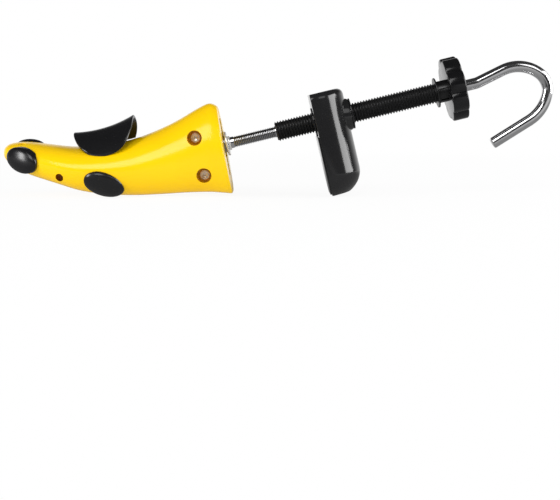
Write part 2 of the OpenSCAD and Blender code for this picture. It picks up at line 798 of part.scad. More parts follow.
// A plug on the flank at one of the flank holes, made on the far side
module flank_plug(i, length, width, yaw, droop, roll, shift, rows) {
    x = toe_x + flank_holes[i][0] * last_length;
    z = flank_holes[i][1] * last_height;
    difference() {
        translate([x, flank_y(i), z]) rotate([0, 0, yaw]) rotate([-90 - droop, 0, 0]) rotate([0, 0, roll])
        translate([shift[0], shift[1], 0]) dome(length, width, plug_rise);
        last_loft(gap, rows[0], rows[1]);
    }
    translate([x, flank_floor(i) + stud_gap, z]) rotate([-90, 0, 0])
    cylinder(h = hole_depth - stud_gap + plug_rise / 2, d = stud_d);
}

module near_toe_plug() {
    color("black") mirror([0, 1, 0]) flank_plug(0, 26, 17.4, 28, 4, 15.3, [0.4, -0.2], [0, 5]);
}

module near_ball_plug() {
    color("black") mirror([0, 1, 0]) flank_plug(2, 28.7, 19, 2, 33, 21.8, [0.2, 1.3], [4, 8]);
}

module far_toe_plug() {
    x = toe_x + toe_top_hole[0] * last_length;
    top_z = toe_top_floor + hole_depth;
    color("black") {
        difference() {
            translate([x + 1.5, toe_top_hole[1], top_z - 2.3]) rotate([-22, 0, 0]) dome(21, 15, plug_rise + 0.6);
            last_loft(gap, 0, 5);
            range_box([x - 20, x + 20], [-10, seam / 2 + gap], [0, last_height]);
        }
        translate([x, toe_top_hole[1], toe_top_floor + stud_gap]) cylinder(h = hole_depth - stud_gap - 0.4, d = stud_d);
    }
}

// Frame of the stud and the hole of the instep pad, in the near half and leaning to its side
module on_pad() {
    translate([pad_x, -pad_y, pad_z]) rotate([pad_roll, -pad_pitch, 0]) children();
}

// Height of the saddle: it rises along its length and drops across its width
function saddle(a, b) = saddle_sag * a * a - pad_drop * pow(2 * b / pad_width, 2);

// All that lies under the ridge of the far half, which passes below the pad as the halves open
module under_ridge(from, to) {
    steps = row_steps * (to - from);
    ridge = [for (i = [0 : steps]) let (r = row_at(from + i / row_steps)) [toe_x + r[0], r[1] + saddle_clear]];
    translate([0, pad_width, 0]) rotate([90, 0, 0]) linear_extrude(height = pad_width)
    polygon(concat([[ridge[0][0], 0]], ridge, [[ridge[steps][0], 0]]));
}

module instep_pad() {
    rings = 6;
    round_steps = 36;
    function rim(k) =
        let (a = 360 * k / round_steps)
        let (r = pow(pow(abs(cos(a)), 2.8) + pow(abs(sin(a)), 2.8), -1 / 2.8))
        [pad_length / 2 * r * cos(a), pad_width / 2 * r * sin(a)];
    function pad_ring(share, down) = [
        for (k = [0 : round_steps - 1])
        let (p = share * rim(k))
        [p[0], p[1], saddle(p[0], p[1]) - down]
    ];
    shares = [for (i = [1 : rings - 1]) 0.97 * i / (rings - 1)];
    layers = concat(
        [for (s = shares) pad_ring(s, 0)],
        [pad_ring(1, pad_t / 2)],
        [for (i = [rings - 2 : -1 : 0]) pad_ring(shares[i], pad_t)]
    );
    last_layer = len(layers) - 1;
    points = concat([[0, 0, 0]], [for (layer = layers) each layer], [[0, 0, -pad_t]]);
    tip = [for (k = [0 : round_steps - 1]) [0, 1 + (k + 1) % round_steps, 1 + k]];
    body = [
        for (i = [0 : last_layer - 1])
        for (k = [0 : round_steps - 1])
        let (a = 1 + i * round_steps + k, b = 1 + i * round_steps + (k + 1) % round_steps)
        for (f = [[a, b, b + round_steps], [a, b + round_steps, a + round_steps]])
        f
    ];
    foot = 1 + last_layer * round_steps;
    base = [for (k = [0 : round_steps - 1]) [foot + k, foot + (k + 1) % round_steps, foot + round_steps]];
    color("black") {
        difference() {
            translate([saddle_x, 0, saddle_z]) rotate([0, -pad_pitch, 0]) polyhedron(points, concat(tip, body, base));
            mirror([0, 1, 0]) last_loft(gap, 4, 9);
            under_ridge(4, 9);
        }
        on_pad() translate([0, 0, -pad_hole_low + stud_gap])
        cylinder(h = pad_hole_low - stud_gap - pad_stud_drop, d = stud_d);
    }
}

near_half();
far_half();
near_hinge_leaf();
far_hinge_leaf();
near_screws();
far_screws();
trunnion_block();
upper_hinge_pin();
lower_hinge_pin();
rod_washer();
thrust_ring();
rod_collar();
spreader();
return_spring();
near_spring_pin();
far_spring_pin();
hook_rod();
rod_end_nut();
thread_tube();
tube_stop_ring();
tube_snap_rings();
knob();
heel_block();
heel_nut();
heel_cover();
near_toe_plug();
near_ball_plug();
far_toe_plug();
instep_pad();
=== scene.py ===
import json
import math
import bmesh
import bpy
from mathutils import Matrix, Vector
from mathutils.bvhtree import BVHTree


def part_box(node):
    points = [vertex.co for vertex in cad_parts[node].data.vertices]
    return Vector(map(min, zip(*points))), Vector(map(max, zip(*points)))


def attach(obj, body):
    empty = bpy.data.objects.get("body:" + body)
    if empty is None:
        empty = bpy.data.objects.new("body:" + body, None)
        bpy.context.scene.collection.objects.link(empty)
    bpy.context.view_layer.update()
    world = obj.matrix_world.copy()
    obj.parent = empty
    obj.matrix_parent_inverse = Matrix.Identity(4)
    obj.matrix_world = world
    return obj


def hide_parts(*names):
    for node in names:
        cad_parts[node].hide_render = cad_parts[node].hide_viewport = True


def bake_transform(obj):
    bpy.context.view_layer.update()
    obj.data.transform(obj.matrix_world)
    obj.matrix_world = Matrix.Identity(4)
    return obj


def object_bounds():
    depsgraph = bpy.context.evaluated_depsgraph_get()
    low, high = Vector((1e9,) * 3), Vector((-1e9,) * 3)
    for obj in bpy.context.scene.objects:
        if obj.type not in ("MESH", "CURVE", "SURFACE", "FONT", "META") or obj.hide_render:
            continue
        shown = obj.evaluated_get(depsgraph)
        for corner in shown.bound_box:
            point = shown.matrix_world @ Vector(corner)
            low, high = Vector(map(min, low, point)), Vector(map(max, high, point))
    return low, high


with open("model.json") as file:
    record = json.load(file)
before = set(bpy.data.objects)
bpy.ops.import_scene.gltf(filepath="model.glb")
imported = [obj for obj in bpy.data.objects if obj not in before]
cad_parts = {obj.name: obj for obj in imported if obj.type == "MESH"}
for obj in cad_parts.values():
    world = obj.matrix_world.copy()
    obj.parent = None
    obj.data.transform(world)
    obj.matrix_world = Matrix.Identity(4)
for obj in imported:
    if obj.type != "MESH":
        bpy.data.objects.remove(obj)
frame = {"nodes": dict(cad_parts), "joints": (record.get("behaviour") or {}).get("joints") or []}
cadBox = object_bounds()
print("frame loaded")

mm = 0.001
rodJoint = next(joint for joint in frame["joints"] if joint["name"] == "rod_turn")
rodStart = Vector(rodJoint["pos_m"]) / mm
rodTilt = math.atan2(rodJoint["axis"][2], rodJoint["axis"][0])
onRod = Matrix.Translation(rodStart) @ Matrix.Rotation(-rodTilt, 4, "Y")  # x along the rod, z up across it
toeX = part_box("near_half")[0].x / mm


# Materials

class Wire:
    # One output socket of a material; sums written on it add their Math nodes
    def __init__(self, tree, socket=None):
        self.tree = tree
        self.socket = socket

    def node(self, kind, settings=None, values=None, out=0):
        made = self.tree.nodes.new("ShaderNode" + kind)
        for name, value in (settings or {}).items():
            setattr(made, name, value)
        for name, value in (values or {}).items():
            if isinstance(value, Wire):
                self.tree.links.new(value.socket, made.inputs[name])
            else:
                made.inputs[name].default_value = value
        return Wire(self.tree, made.outputs[out] if made.outputs else None)

    def maths(self, operation, first, second):
        return self.node("Math", {"operation": operation}, {0: first, 1: second})

    def __add__(self, other):
        return self.maths("ADD", self, other)

    def __radd__(self, other):
        return self.maths("ADD", other, self)

    def __sub__(self, other):
        return self.maths("SUBTRACT", self, other)

    def __rsub__(self, other):
        return self.maths("SUBTRACT", other, self)

    def __mul__(self, other):
        return self.maths("MULTIPLY", self, other)

    def __rmul__(self, other):
        return self.maths("MULTIPLY", other, self)

    def clamped(self, low=0.0, high=1.0):
        return self.node("Clamp", {}, {"Value": self, "Min": low, "Max": high})

    def ramp(self, start, rise):
        return ((self - start) * rise).clamped()

    def part(self, index):
        return self.node("SeparateXYZ", {}, {"Vector": self}, out=index)

    def noise(self, scale, detail=3.0, rough=0.5):
        values = {"Vector": self, "Scale": scale, "Detail": detail, "Roughness": rough}
        return self.node("TexNoise", {}, values)

    def mixed(self, first, second):
        return self.node("Mix", {"data_type": "RGBA"}, {0: self, 6: first, 7: second}, out=2)


def newTree(name):
    material = bpy.data.materials.new(name)
    material.use_nodes = True
    material.node_tree.nodes.clear()
    return material, Wire(material.node_tree)


plasticLook = {
    # The last colour of each look is painted shade, laid into holes, screw wells and thread roots where a
    # piece marks them
    "yellow": {"colour": (0.99, 0.635, 0.001, 1), "deep": (0.97, 0.575, 0.001, 1), "rough": 0.19,
               "roughSpread": 0.05, "grain": 0.004, "specular": 0.42, "inside": (0.50, 0.20, 0.001, 1)},
    "heelBlack": {"colour": (0.0120, 0.0120, 0.0125, 1), "deep": (0.0165, 0.0165, 0.017, 1), "rough": 0.13,
                  "roughSpread": 0.03, "grain": 0.001, "specular": 0.50, "inside": (0.005, 0.005, 0.005, 1)},
    "knobBlack": {"colour": (0.0055, 0.0055, 0.006, 1), "deep": (0.009, 0.009, 0.0095, 1), "rough": 0.16,
                  "roughSpread": 0.05, "grain": 0.002, "specular": 0.45, "inside": (0.005, 0.005, 0.005, 1)},
    "plugBlack": {"colour": (0.0060, 0.0060, 0.0068, 1), "deep": (0.010, 0.010, 0.011, 1), "rough": 0.26,
                  "roughSpread": 0.06, "grain": 0.004, "specular": 0.6, "inside": (0.005, 0.005, 0.005, 1)},
    "threadBlack": {"colour": (0.0055, 0.0055, 0.006, 1), "deep": (0.010, 0.010, 0.0105, 1), "rough": 0.32,
                    "roughSpread": 0.06, "grain": 0.006, "specular": 0.6, "inside": (0.005, 0.005, 0.005, 1)},
}
plasticMarks = {
    "flow": 38.0, "flowFrom": 0.35, "flowShare": 1.4, "patch": 160.0, "grain": 2600.0, "patchBump": 1.5,
    "bumpDeep": 0.0004, "speck": 900.0, "speckFrom": 0.76, "speckRise": 8.0, "speckShare": 0.12,
    "speckRough": 0.2, "dust": (0.4, 0.4, 0.38, 1), "insideRough": 0.3,
}


def mouldedPlastic(name, look):
    # Moulded plastic: slow flow in the colour, patchy gloss, a faint grain, a few dust specks and painted
    # shade in marked holes, wells and thread roots
    marks = plasticMarks
    material, tree = newTree(name)
    where = tree.node("TexCoord", out=3)
    flow = where.noise(marks["flow"], 2.0)
    patch = where.noise(marks["patch"], 4.0, 0.6)
    grain = where.noise(marks["grain"], 2.0)
    specks = where.noise(marks["speck"], 1.0).ramp(marks["speckFrom"], marks["speckRise"])
    # Painted shade from the piece's mark: darker and duller in holes, wells and thread roots
    inside = tree.node("Attribute", {"attribute_name": "inside"}, out=2)
    base = ((flow - marks["flowFrom"]).clamped() * marks["flowShare"]).mixed(look["colour"], look["deep"])
    base = (specks * marks["speckShare"]).mixed(base, marks["dust"])
    base = inside.mixed(base, look["inside"])
    rough = look["rough"] + (patch - 0.5) * look["roughSpread"]
    rough = rough + specks * marks["speckRough"] + inside * marks["insideRough"]
    bump = tree.node("Bump", {}, {"Strength": look["grain"], "Distance": marks["bumpDeep"],
                                  "Height": grain + patch * marks["patchBump"]})
    shader = tree.node("BsdfPrincipled", {}, {
        "Base Color": base, "Roughness": rough.clamped(0.05, 0.9), "Normal": bump,
        "Specular IOR Level": look["specular"]})
    tree.node("OutputMaterial", {}, {"Surface": shader})
    return material


metalLook = {
    # The last colour of each look is painted shade, laid into thread roots where a piece marks them
    "chrome": {"colour": (0.84, 0.84, 0.85, 1), "worn": (0.66, 0.66, 0.68, 1), "rough": 0.12,
               "roughSpread": 0.03, "grain": 0.0005, "metal": 1.0, "inside": (0.28, 0.28, 0.28, 1)},
    "bright": {"colour": (0.95, 0.94, 0.92, 1), "worn": (0.80, 0.79, 0.77, 1), "rough": 0.24,
               "roughSpread": 0.08, "grain": 0.01, "metal": 0.5, "inside": (0.3, 0.3, 0.3, 1)},
    "zinc": {"colour": (0.56, 0.57, 0.58, 1), "worn": (0.38, 0.38, 0.40, 1), "rough": 0.36,
             "roughSpread": 0.2, "grain": 0.12, "metal": 1.0, "inside": (0.2, 0.2, 0.2, 1)},
}
metalMarks = {
    "patch": 120.0, "patchFrom": 0.45, "drawn": (220, 2600, 2600), "drawnRough": 0.6, "spot": 420.0,
    "spotFrom": 0.62, "spotRise": 5.0, "spotShare": 0.5, "bumpDeep": 0.0002, "insideRough": 0.2,
}


def steel(name, look):
    # Drawn or plated steel: fine marks along the rod, patchy polish, duller spots and painted shade in marked
    # thread roots
    marks = metalMarks
    material, tree = newTree(name)
    where = tree.node("TexCoord", out=3)
    patch = where.noise(marks["patch"], 4.0, 0.6)
    alongRod = {"Vector": where, "Rotation": (0, rodTilt, 0), "Scale": marks["drawn"]}
    drawn = tree.node("Mapping", {}, alongRod).noise(1.0, 3.0)
    spots = (where.noise(marks["spot"], 3.0) - marks["spotFrom"]).clamped() * marks["spotRise"]
    # Painted shade from the piece's mark: darker and duller in the thread roots
    inside = tree.node("Attribute", {"attribute_name": "inside"}, out=2)
    worn = (spots.clamped() * marks["spotShare"] + (patch - marks["patchFrom"]).clamped()).clamped()
    base = inside.mixed(worn.mixed(look["colour"], look["worn"]), look["inside"])
    rough = look["rough"] + ((patch - 0.5) + (drawn - 0.5) * marks["drawnRough"]) * look["roughSpread"]
    rough = rough + inside * marks["insideRough"]
    bump = tree.node("Bump", {}, {"Strength": look["grain"], "Distance": marks["bumpDeep"],
                                  "Height": drawn + spots})
    shader = tree.node("BsdfPrincipled", {}, {
        "Base Color": base, "Metallic": look["metal"], "Roughness": rough.clamped(0.04, 0.9),
        "Normal": bump})
    tree.node("OutputMaterial", {}, {"Surface": shader})
    return material


finishes = {
    "last_yellow": mouldedPlastic("yellowPlastic", plasticLook["yellow"]),
    "heel_black": mouldedPlastic("heelBlack", plasticLook["heelBlack"]),
    "knob_black": mouldedPlastic("knobBlack", plasticLook["knobBlack"]),
    "plug_black": mouldedPlastic("plugBlack", plasticLook["plugBlack"]),
    "black_plastic": mouldedPlastic("threadBlack", plasticLook["threadBlack"]),
    "rod_chrome": steel("platedRod", metalLook["chrome"]),
    "bright_steel": steel("brightSteel", metalLook["bright"]),
    "zinc_steel": steel("zincSteel", metalLook["zinc"]),
}
print("finishes made")


# Modelling helpers; all lengths are in millimetres until a piece is finished

def toObject(bm, name):
    mesh = bpy.data.meshes.new(name)
    bm.to_mesh(mesh)
    bm.free()
    made = bpy.data.objects.new(name, mesh)
    bpy.context.scene.collection.objects.link(made)
    return made


def dropObject(old):
    mesh = old.data
    bpy.data.objects.remove(old)
    bpy.data.meshes.remove(mesh)


def makePiece(bm, name, body, slot, stands, place=None, sharp=34, outwards=True):
    # Finishes a bmesh as a piece of the object, in metres; the spring's halves ride on no single body
    if place is not None:
        bmesh.ops.transform(bm, matrix=place, verts=bm.verts)
    bmesh.ops.scale(bm, vec=(mm, mm, mm), verts=bm.verts)
    if outwards:
        bmesh.ops.recalc_face_normals(bm, faces=bm.faces)
    limit = math.radians(sharp)
    for face in bm.faces:
        face.smooth = True
    for edge in bm.edges:
        edge.smooth = len(edge.link_faces) != 2 or edge.calc_face_angle() < limit
    piece = toObject(bm, name)
    piece.data.materials.append(finishes[slot])
    if body:
        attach(piece, body)
    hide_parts(stands)
    return piece


def joinInto(target, source):
    # Adds the shells of one bmesh to another
    mesh = bpy.data.meshes.new("shells")
    source.to_mesh(mesh)
    source.free()
    target.from_mesh(mesh)
    bpy.data.meshes.remove(mesh)


def moved(bm, *matrices):
    # Moves a whole bmesh by the product of some matrices
    whole = Matrix.Identity(4)
    for matrix in matrices:
        whole = whole @ matrix
    bmesh.ops.transform(bm, matrix=whole, verts=bm.verts)
    return bm


def shifted(x=0, y=0, z=0):
    return Matrix.Translation((x, y, z))


def rotated(degrees, axis):
    return Matrix.Rotation(math.radians(degrees), 4, axis)


def towards(direction):
    # Turns the X axis to a direction
    return Vector((1, 0, 0)).rotation_difference(Vector(direction)).to_matrix().to_4x4()


def endsOf(edges):
    return list(dict.fromkeys(v for e in edges for v in e.verts))


def cutFlat(bm, place, normal):
    # Takes away what lies past a plane, on the side that its normal points to
    bmesh.ops.bisect_plane(bm, geom=bm.verts[:] + bm.edges[:] + bm.faces[:], dist=0.0001,
                           plane_co=place, plane_no=normal, clear_outer=True)


def pushedOut(bm, faces, step, keep=False):
    # Extrudes faces and shifts their copy
    made = bmesh.ops.extrude_face_region(bm, geom=faces, use_keep_orig=keep)["geom"]
    bmesh.ops.translate(bm, vec=step, verts=[g for g in made if isinstance(g, bmesh.types.BMVert)])


def bevelEdges(bm, edges, size, segments, clamp=True):
    bmesh.ops.bevel(bm, geom=edges, offset=size, offset_type="OFFSET", segments=segments, profile=0.5,
                    affect="EDGES", clamp_overlap=clamp, material=-1)


def soften(bm, size, segments=3, angle=38, keep=None):
    # Rounds the sharp edges of a shape, or those of them that keep chooses
    limit = math.radians(angle)
    edges = [e for e in bm.edges if len(e.link_faces) == 2 and e.calc_face_angle() > limit]
    bevelEdges(bm, [e for e in edges if keep is None or keep(e)], size, segments)
    return bm


def closeHoles(bm):
    rim = [e for e in bm.edges if len(e.link_faces) == 1]
    if rim:
        bmesh.ops.holes_fill(bm, edges=rim, sides=0)
    return bm


def turned(profile, steps=72, closed=False):
    # A solid turned about the X axis from (radius, place along) points
    bm = bmesh.new()
    corners = [bm.verts.new((along, 0, radius)) for radius, along in profile]
    lines = [bm.edges.new(pair) for pair in zip(corners, corners[1:])]
    if closed:
        lines.append(bm.edges.new((corners[-1], corners[0])))
    bmesh.ops.spin(bm, geom=corners + lines, cent=(0, 0, 0), axis=(1, 0, 0), angle=2 * math.pi,
                   steps=steps, use_merge=True, use_duplicate=False)
    bmesh.ops.remove_doubles(bm, verts=bm.verts, dist=0.0005)
    bmesh.ops.recalc_face_normals(bm, faces=bm.faces)
    return bm


def ringShape(low, high, outer, inner, steps=72):
    return turned([(inner, low), (outer, low), (outer, high), (inner, high)], steps, closed=True)


def rodAlong(low, high, radius, steps=48):
    return turned([(0, low), (radius, low), (radius, high), (0, high)], steps)


def box(low, high):
    bm = bmesh.new()
    size = Vector(high) - Vector(low)
    middle = Matrix.Translation((Vector(low) + Vector(high)) / 2)
    bmesh.ops.create_cube(bm, size=1, matrix=middle @ Matrix.Diagonal((*size, 1)))
    return bm


def prism(outline, low, high):
    # A flat outline in the XY plane, drawn up between two heights
    bm = bmesh.new()
    face = bm.faces.new([bm.verts.new((x, y, low)) for x, y in outline])
    pushedOut(bm, [face], (0, 0, high - low))
    return bm


def drill(place, direction, diameter, out=40.0, tip=0.12):
    # A drilled hole from its floor outwards, with a small drill-point unless its tip is flat
    bm = turned([(0, -diameter * tip), (diameter / 2, 0), (diameter / 2, out), (0, out)], 40)
    return moved(bm, Matrix.Translation(place), towards(direction))


threadForm = [  # height, as a share of the depth, and place, as a share of the pitch
    (0.0, 0.0), (0.0, 0.08), (1.0, 0.44), (1.0, 0.56), (0.0, 0.92), (0.0, 1.0)]


def threaded(low, high, outer, depth, pitch, steps):
    # A real helical thread between two places: one pitch of profile, spun with a lead and cut at both ends
    bm = bmesh.new()
    start = low - 1.5 * pitch
    turns = math.ceil((high - low) / pitch) + 3
    root = outer - depth
    points = [(start + share * pitch, 0, root + depth * height) for height, share in threadForm]
    corners = [bm.verts.new(point) for point in points]
    lines = [bm.edges.new(pair) for pair in zip(corners, corners[1:])]
    bmesh.ops.spin(bm, geom=corners + lines, cent=(0, 0, 0), axis=(1, 0, 0), dvec=(pitch / steps, 0, 0),
                   angle=2 * math.pi * turns, steps=steps * turns, use_duplicate=False)
    bmesh.ops.remove_doubles(bm, verts=bm.verts, dist=0.0008)
    cutFlat(bm, (low, 0, 0), (-1, 0, 0))
    cutFlat(bm, (high, 0, 0), (1, 0, 0))
    return closeHoles(bm)


def shadeRoots(bm, outer, depth, spans):
    # Marks how deep each point of a thread lies, for painted shade and duller gloss in the roots
    inside = bm.verts.layers.float.new("inside")
    for v in bm.verts:
        if any(low <= v.co.x <= high for low, high in spans):
            v[inside] = min(max((outer - math.hypot(v.co.y, v.co.z)) / depth, 0), 1)


def openRing(sides, radius, *matrices):
    # An open ring of edges, the start of a bar or a wire
    bm = bmesh.new()
    bmesh.ops.create_circle(bm, cap_ends=False, segments=sides, radius=radius)
    return moved(bm, *matrices)


def wireStick(sides, radius, length, *matrices):
    bm = bmesh.new()
    bmesh.ops.create_cone(bm, cap_ends=True, segments=sides, radius1=radius, radius2=radius, depth=length)
    return moved(bm, *matrices)


def roundBar(bm, ring, place, heading, path, bendStep=5):
    # Carries an open ring along straights and bends in the XZ plane, each (run, radius, angle down)
    for run, radius, angle in path:
        points = endsOf(ring)
        if run:
            made = bmesh.ops.extrude_edge_only(bm, edges=ring)["geom"]
            edges = [g for g in made if isinstance(g, bmesh.types.BMEdge)]
            ring = [e for e in edges if not any(v in points for v in e.verts)]
            step = Vector((math.cos(heading), 0, math.sin(heading))) * run
            bmesh.ops.translate(bm, vec=step, verts=endsOf(ring))
            place = place + step
        else:
            side = 1 if angle > 0 else -1
            centre = place + side * radius * Vector((math.sin(heading), 0, -math.cos(heading)))
            made = bmesh.ops.spin(bm, geom=points + ring, cent=centre, axis=(0, 1, 0),
                                  angle=math.radians(angle), steps=max(2, round(abs(angle) / bendStep)),
                                  use_duplicate=False)["geom_last"]
            ring = [g for g in made if isinstance(g, bmesh.types.BMEdge)]
            place = centre + Matrix.Rotation(math.radians(angle), 3, "Y") @ (place - centre)
            heading -= math.radians(angle)
    return ring, place, heading


def cutShape(bm, cutters, operation="DIFFERENCE"):
    # Cuts bmeshes from a bmesh, or joins them to it, and clears what is left of no size
    bmesh.ops.recalc_face_normals(bm, faces=bm.faces)
    shape = toObject(bm, "shape")
    for cutter in cutters:
        bmesh.ops.recalc_face_normals(cutter, faces=cutter.faces)
        tool = toObject(cutter, "cutter")
        change = shape.modifiers.new("cut", "BOOLEAN")
        change.operation = operation
        change.object = tool
        change.solver = "EXACT"
        evaluated = shape.evaluated_get(bpy.context.evaluated_depsgraph_get())
        old = shape.data
        made = bpy.data.meshes.new_from_object(evaluated)
        shape.modifiers.clear()
        shape.data = made
        bpy.data.meshes.remove(old)
        dropObject(tool)
    result = bmesh.new()
    result.from_mesh(shape.data)
    bmesh.ops.remove_doubles(result, verts=result.verts, dist=0.0006)
    bmesh.ops.dissolve_degenerate(result, edges=result.edges, dist=0.0006)
    dropObject(shape)
    return result


# The last

lastForm = {
    "length": 154.3, "height": 64.0, "halfWidth": 30.5, "seam": 0.25, "soleRound": 0.62,
    "rows": [  # top x, top z, bottom x, bottom z, half width, as shares
        (0.000, 0.484, 0.001, 0.430, 0.17), (0.013, 0.538, 0.017, 0.373, 0.40),
        (0.045, 0.569, 0.052, 0.312, 0.60), (0.110, 0.578, 0.123, 0.225, 0.78),
        (0.214, 0.550, 0.240, 0.134, 0.91), (0.324, 0.527, 0.356, 0.050, 0.98),
        (0.441, 0.545, 0.473, 0.012, 1.00), (0.557, 0.592, 0.593, 0.001, 0.97),
        (0.668, 0.681, 0.713, 0.012, 0.92), (0.778, 0.802, 0.826, 0.028, 0.87),
        (0.878, 0.942, 0.927, 0.034, 0.83), (0.931, 0.998, 0.979, 0.028, 0.815),
        (0.969, 0.968, 1.040, 0.016, 0.80)],
    "along": 104, "around": 44, "alongEven": 0.62, "aroundEven": 0.55,
    "toeSteps": 4, "toeRows": 0.12, "toeRound": 1.2, "backSteps": 5, "backRows": 0.25, "backRound": 1.8,
    "seamRound": 0.45,
}


def lastRow(place):
    # The skin's top, bottom and half width at a place between the rows, on a smooth curve through them
    rows = lastForm["rows"]
    end = len(rows) - 1
    index = min(int(place), end - 1)
    t = place - index
    a, b, c, d = (rows[max(index - 1, 0)], rows[index], rows[index + 1], rows[min(index + 2, end)])
    length, height = lastForm["length"], lastForm["height"]
    sizes = (length, height, length, height, lastForm["halfWidth"])
    row = []
    for s, p, q, r, u in zip(sizes, a, b, c, d):
        curve = 2 * q + (r - p) * t + (2 * p - 5 * q + 4 * r - u) * t * t
        row.append(s * (curve + (3 * q - p - 3 * r + u) * t ** 3) / 2)
    return row


def lastPoint(place, turn, grow=0.0):
    # A point of the near half's skin: place runs over the rows, turn from 0 on top to 180 at the sole
    topX, topZ, lowX, lowZ, half = lastRow(place)
    midX, midZ = (topX + lowX) / 2, (topZ + lowZ) / 2
    upX, upZ = (topX - lowX) / 2, (topZ - lowZ) / 2
    lift = math.cos(math.radians(turn)) * (1 + grow / math.hypot(upX, upZ))
    power = 1 if turn < 90 else lastForm["soleRound"]
    side = (half + grow - lastForm["seam"]) * max(math.sin(math.radians(turn)), 0) ** power
    return Vector((toeX + midX + upX * lift, -lastForm["seam"] - side, midZ + upZ * lift))


def eased(share, even):
    return share * (even + (1 - even) * share)


def lastSkin(grow=0.0):
    # The outside of one half: a grid whose columns run along the last and whose rows go round its section
    bm = bmesh.new()
    form = lastForm
    end = len(form["rows"]) - 1
    toe, back, around = form["toeSteps"], form["backSteps"], form["around"]
    columns = toe + form["along"] + back
    bmesh.ops.create_grid(bm, x_segments=columns, y_segments=around, size=1)
    for v in bm.verts:
        column = round((v.co.x + 1) / 2 * columns)
        turn = round((v.co.y + 1) / 2 * around) / around
        inset = 0
        if column < toe:
            arc = math.radians(90 * column / toe)
            place = form["toeRows"] * (1 - math.cos(arc))
            inset = form["toeRound"] * (1 - math.sin(arc))
        elif column > columns - back:
            arc = math.radians(90 * (columns - column) / back)
            place = end - form["backRows"] * (1 - math.cos(arc))
            inset = form["backRound"] * (1 - math.sin(arc))
        else:
            share = eased((column - toe) / form["along"], form["alongEven"])
            place = form["toeRows"] + share * (end - form["toeRows"] - form["backRows"])
        smooth = turn * (3 - 2 * turn)
        angle = 180 * turn * (form["aroundEven"] + (1 - form["aroundEven"]) * smooth)
        v.co = lastPoint(place, angle, grow - inset)
    return bm


def onSeam(edge, near=0.01):
    return all(abs(v.co.y + lastForm["seam"]) < near for v in edge.verts)


def lastBody(grow=0.0):
    bm = lastSkin(grow)
    seam = [e for e in bm.edges if len(e.link_faces) == 1 and onSeam(e, 0.001)]
    bmesh.ops.bridge_loops(bm, edges=seam)
    closeHoles(bm)
    bmesh.ops.recalc_face_normals(bm, faces=bm.faces)
    return bm


gear = {  # room for the gear inside, in the rod's frame, as in the CAD halves
    "pivot": -8.0, "past": 1.0, "tall": 60.0,
    "leaf": ((-26.5, 10.0), 6.55, (-21.9, 18.2)), "block": ((-15.4, 10.0), 8.3, (-9.0, 9.0)),
    "nut": ((-62.5, -26.0), 7.0, (-7.0, 7.0)), "rodRoom": (-64.5, 0, 4.8),
    "camStart": -25.0, "camFlat": -38.3, "camEnd": 9.3, "camHeight": 13.3, "camLast": (-54.9, 3.5),
    "cam": [(-38.77, 9.21), (-41.06, 8.62), (-43.34, 7.95), (-45.60, 7.21), (-47.84, 6.39), (-50.07, 5.49),
            (-52.28, 4.52)],
    "screwU": -17.6, "screwW": (9.5, -16.9), "wellD": 10.3, "wellSeat": 10.5,
    "shankD": 4.4, "shankFrom": 1.0, "shankOut": 12, "swing": 7.0, "swingEnd": 12,
    "springU": -72.0, "springRoom": 4.0, "springDeep": 13.4,
}
holes = {"d": 5.5, "depth": 8.0, "flank": [(0.100, 0.389), (0.278, 0.214), (0.475, 0.147)],
         "toeTop": (0.092, 10.0, 0.578), "pad": (0.4485, 8.0, 0.735), "padPitch": 16.7, "padRoll": 12.0,
         "padLow": 24.0}
# How much painted shade the half's holes and screw wells take: faces far from the seam, small and sunk below
# the skin
shadeInHoles = {"behind": 9.0, "largest": 150.0, "under": 0.25, "wellsFrom": 0.8, "wells": 0.15, "holes": 1.0}


def onLast(along, aside, up):
    # A place on the last from its shares of the length and height
    return (toeX + along * lastForm["length"], aside, up * lastForm["height"])


padX, padY, padZ = onLast(holes["pad"][0], -holes["pad"][1], holes["pad"][2])
padFrame = shifted(padX, padY, padZ) @ rotated(-holes["padPitch"], "Y") @ rotated(holes["padRoll"], "X")
padUp = padFrame.to_3x3() @ Vector((0, 0, 1))


def skinOfNearHalf():
    skin = lastSkin()
    bmesh.ops.recalc_face_normals(skin, faces=skin.faces)
    if skin.faces[len(skin.faces) // 2].normal.y > 0:
        bmesh.ops.reverse_faces(skin, faces=skin.faces)
    tree = BVHTree.FromBMesh(skin)
    skin.free()
    return tree


skinTree = skinOfNearHalf()


def flankMouth(index):
    x, y, z = onLast(holes["flank"][index][0], -80, holes["flank"][index][1])
    hit = skinTree.ray_cast(Vector((x, y, z)), Vector((0, 1, 0)))[0]
    return Vector((x, hit.y, z))


def gearRoom(span, deep, rise):
    return moved(box((span[0], -deep, rise[0]), (span[1], gear["past"], rise[1])), onRod)


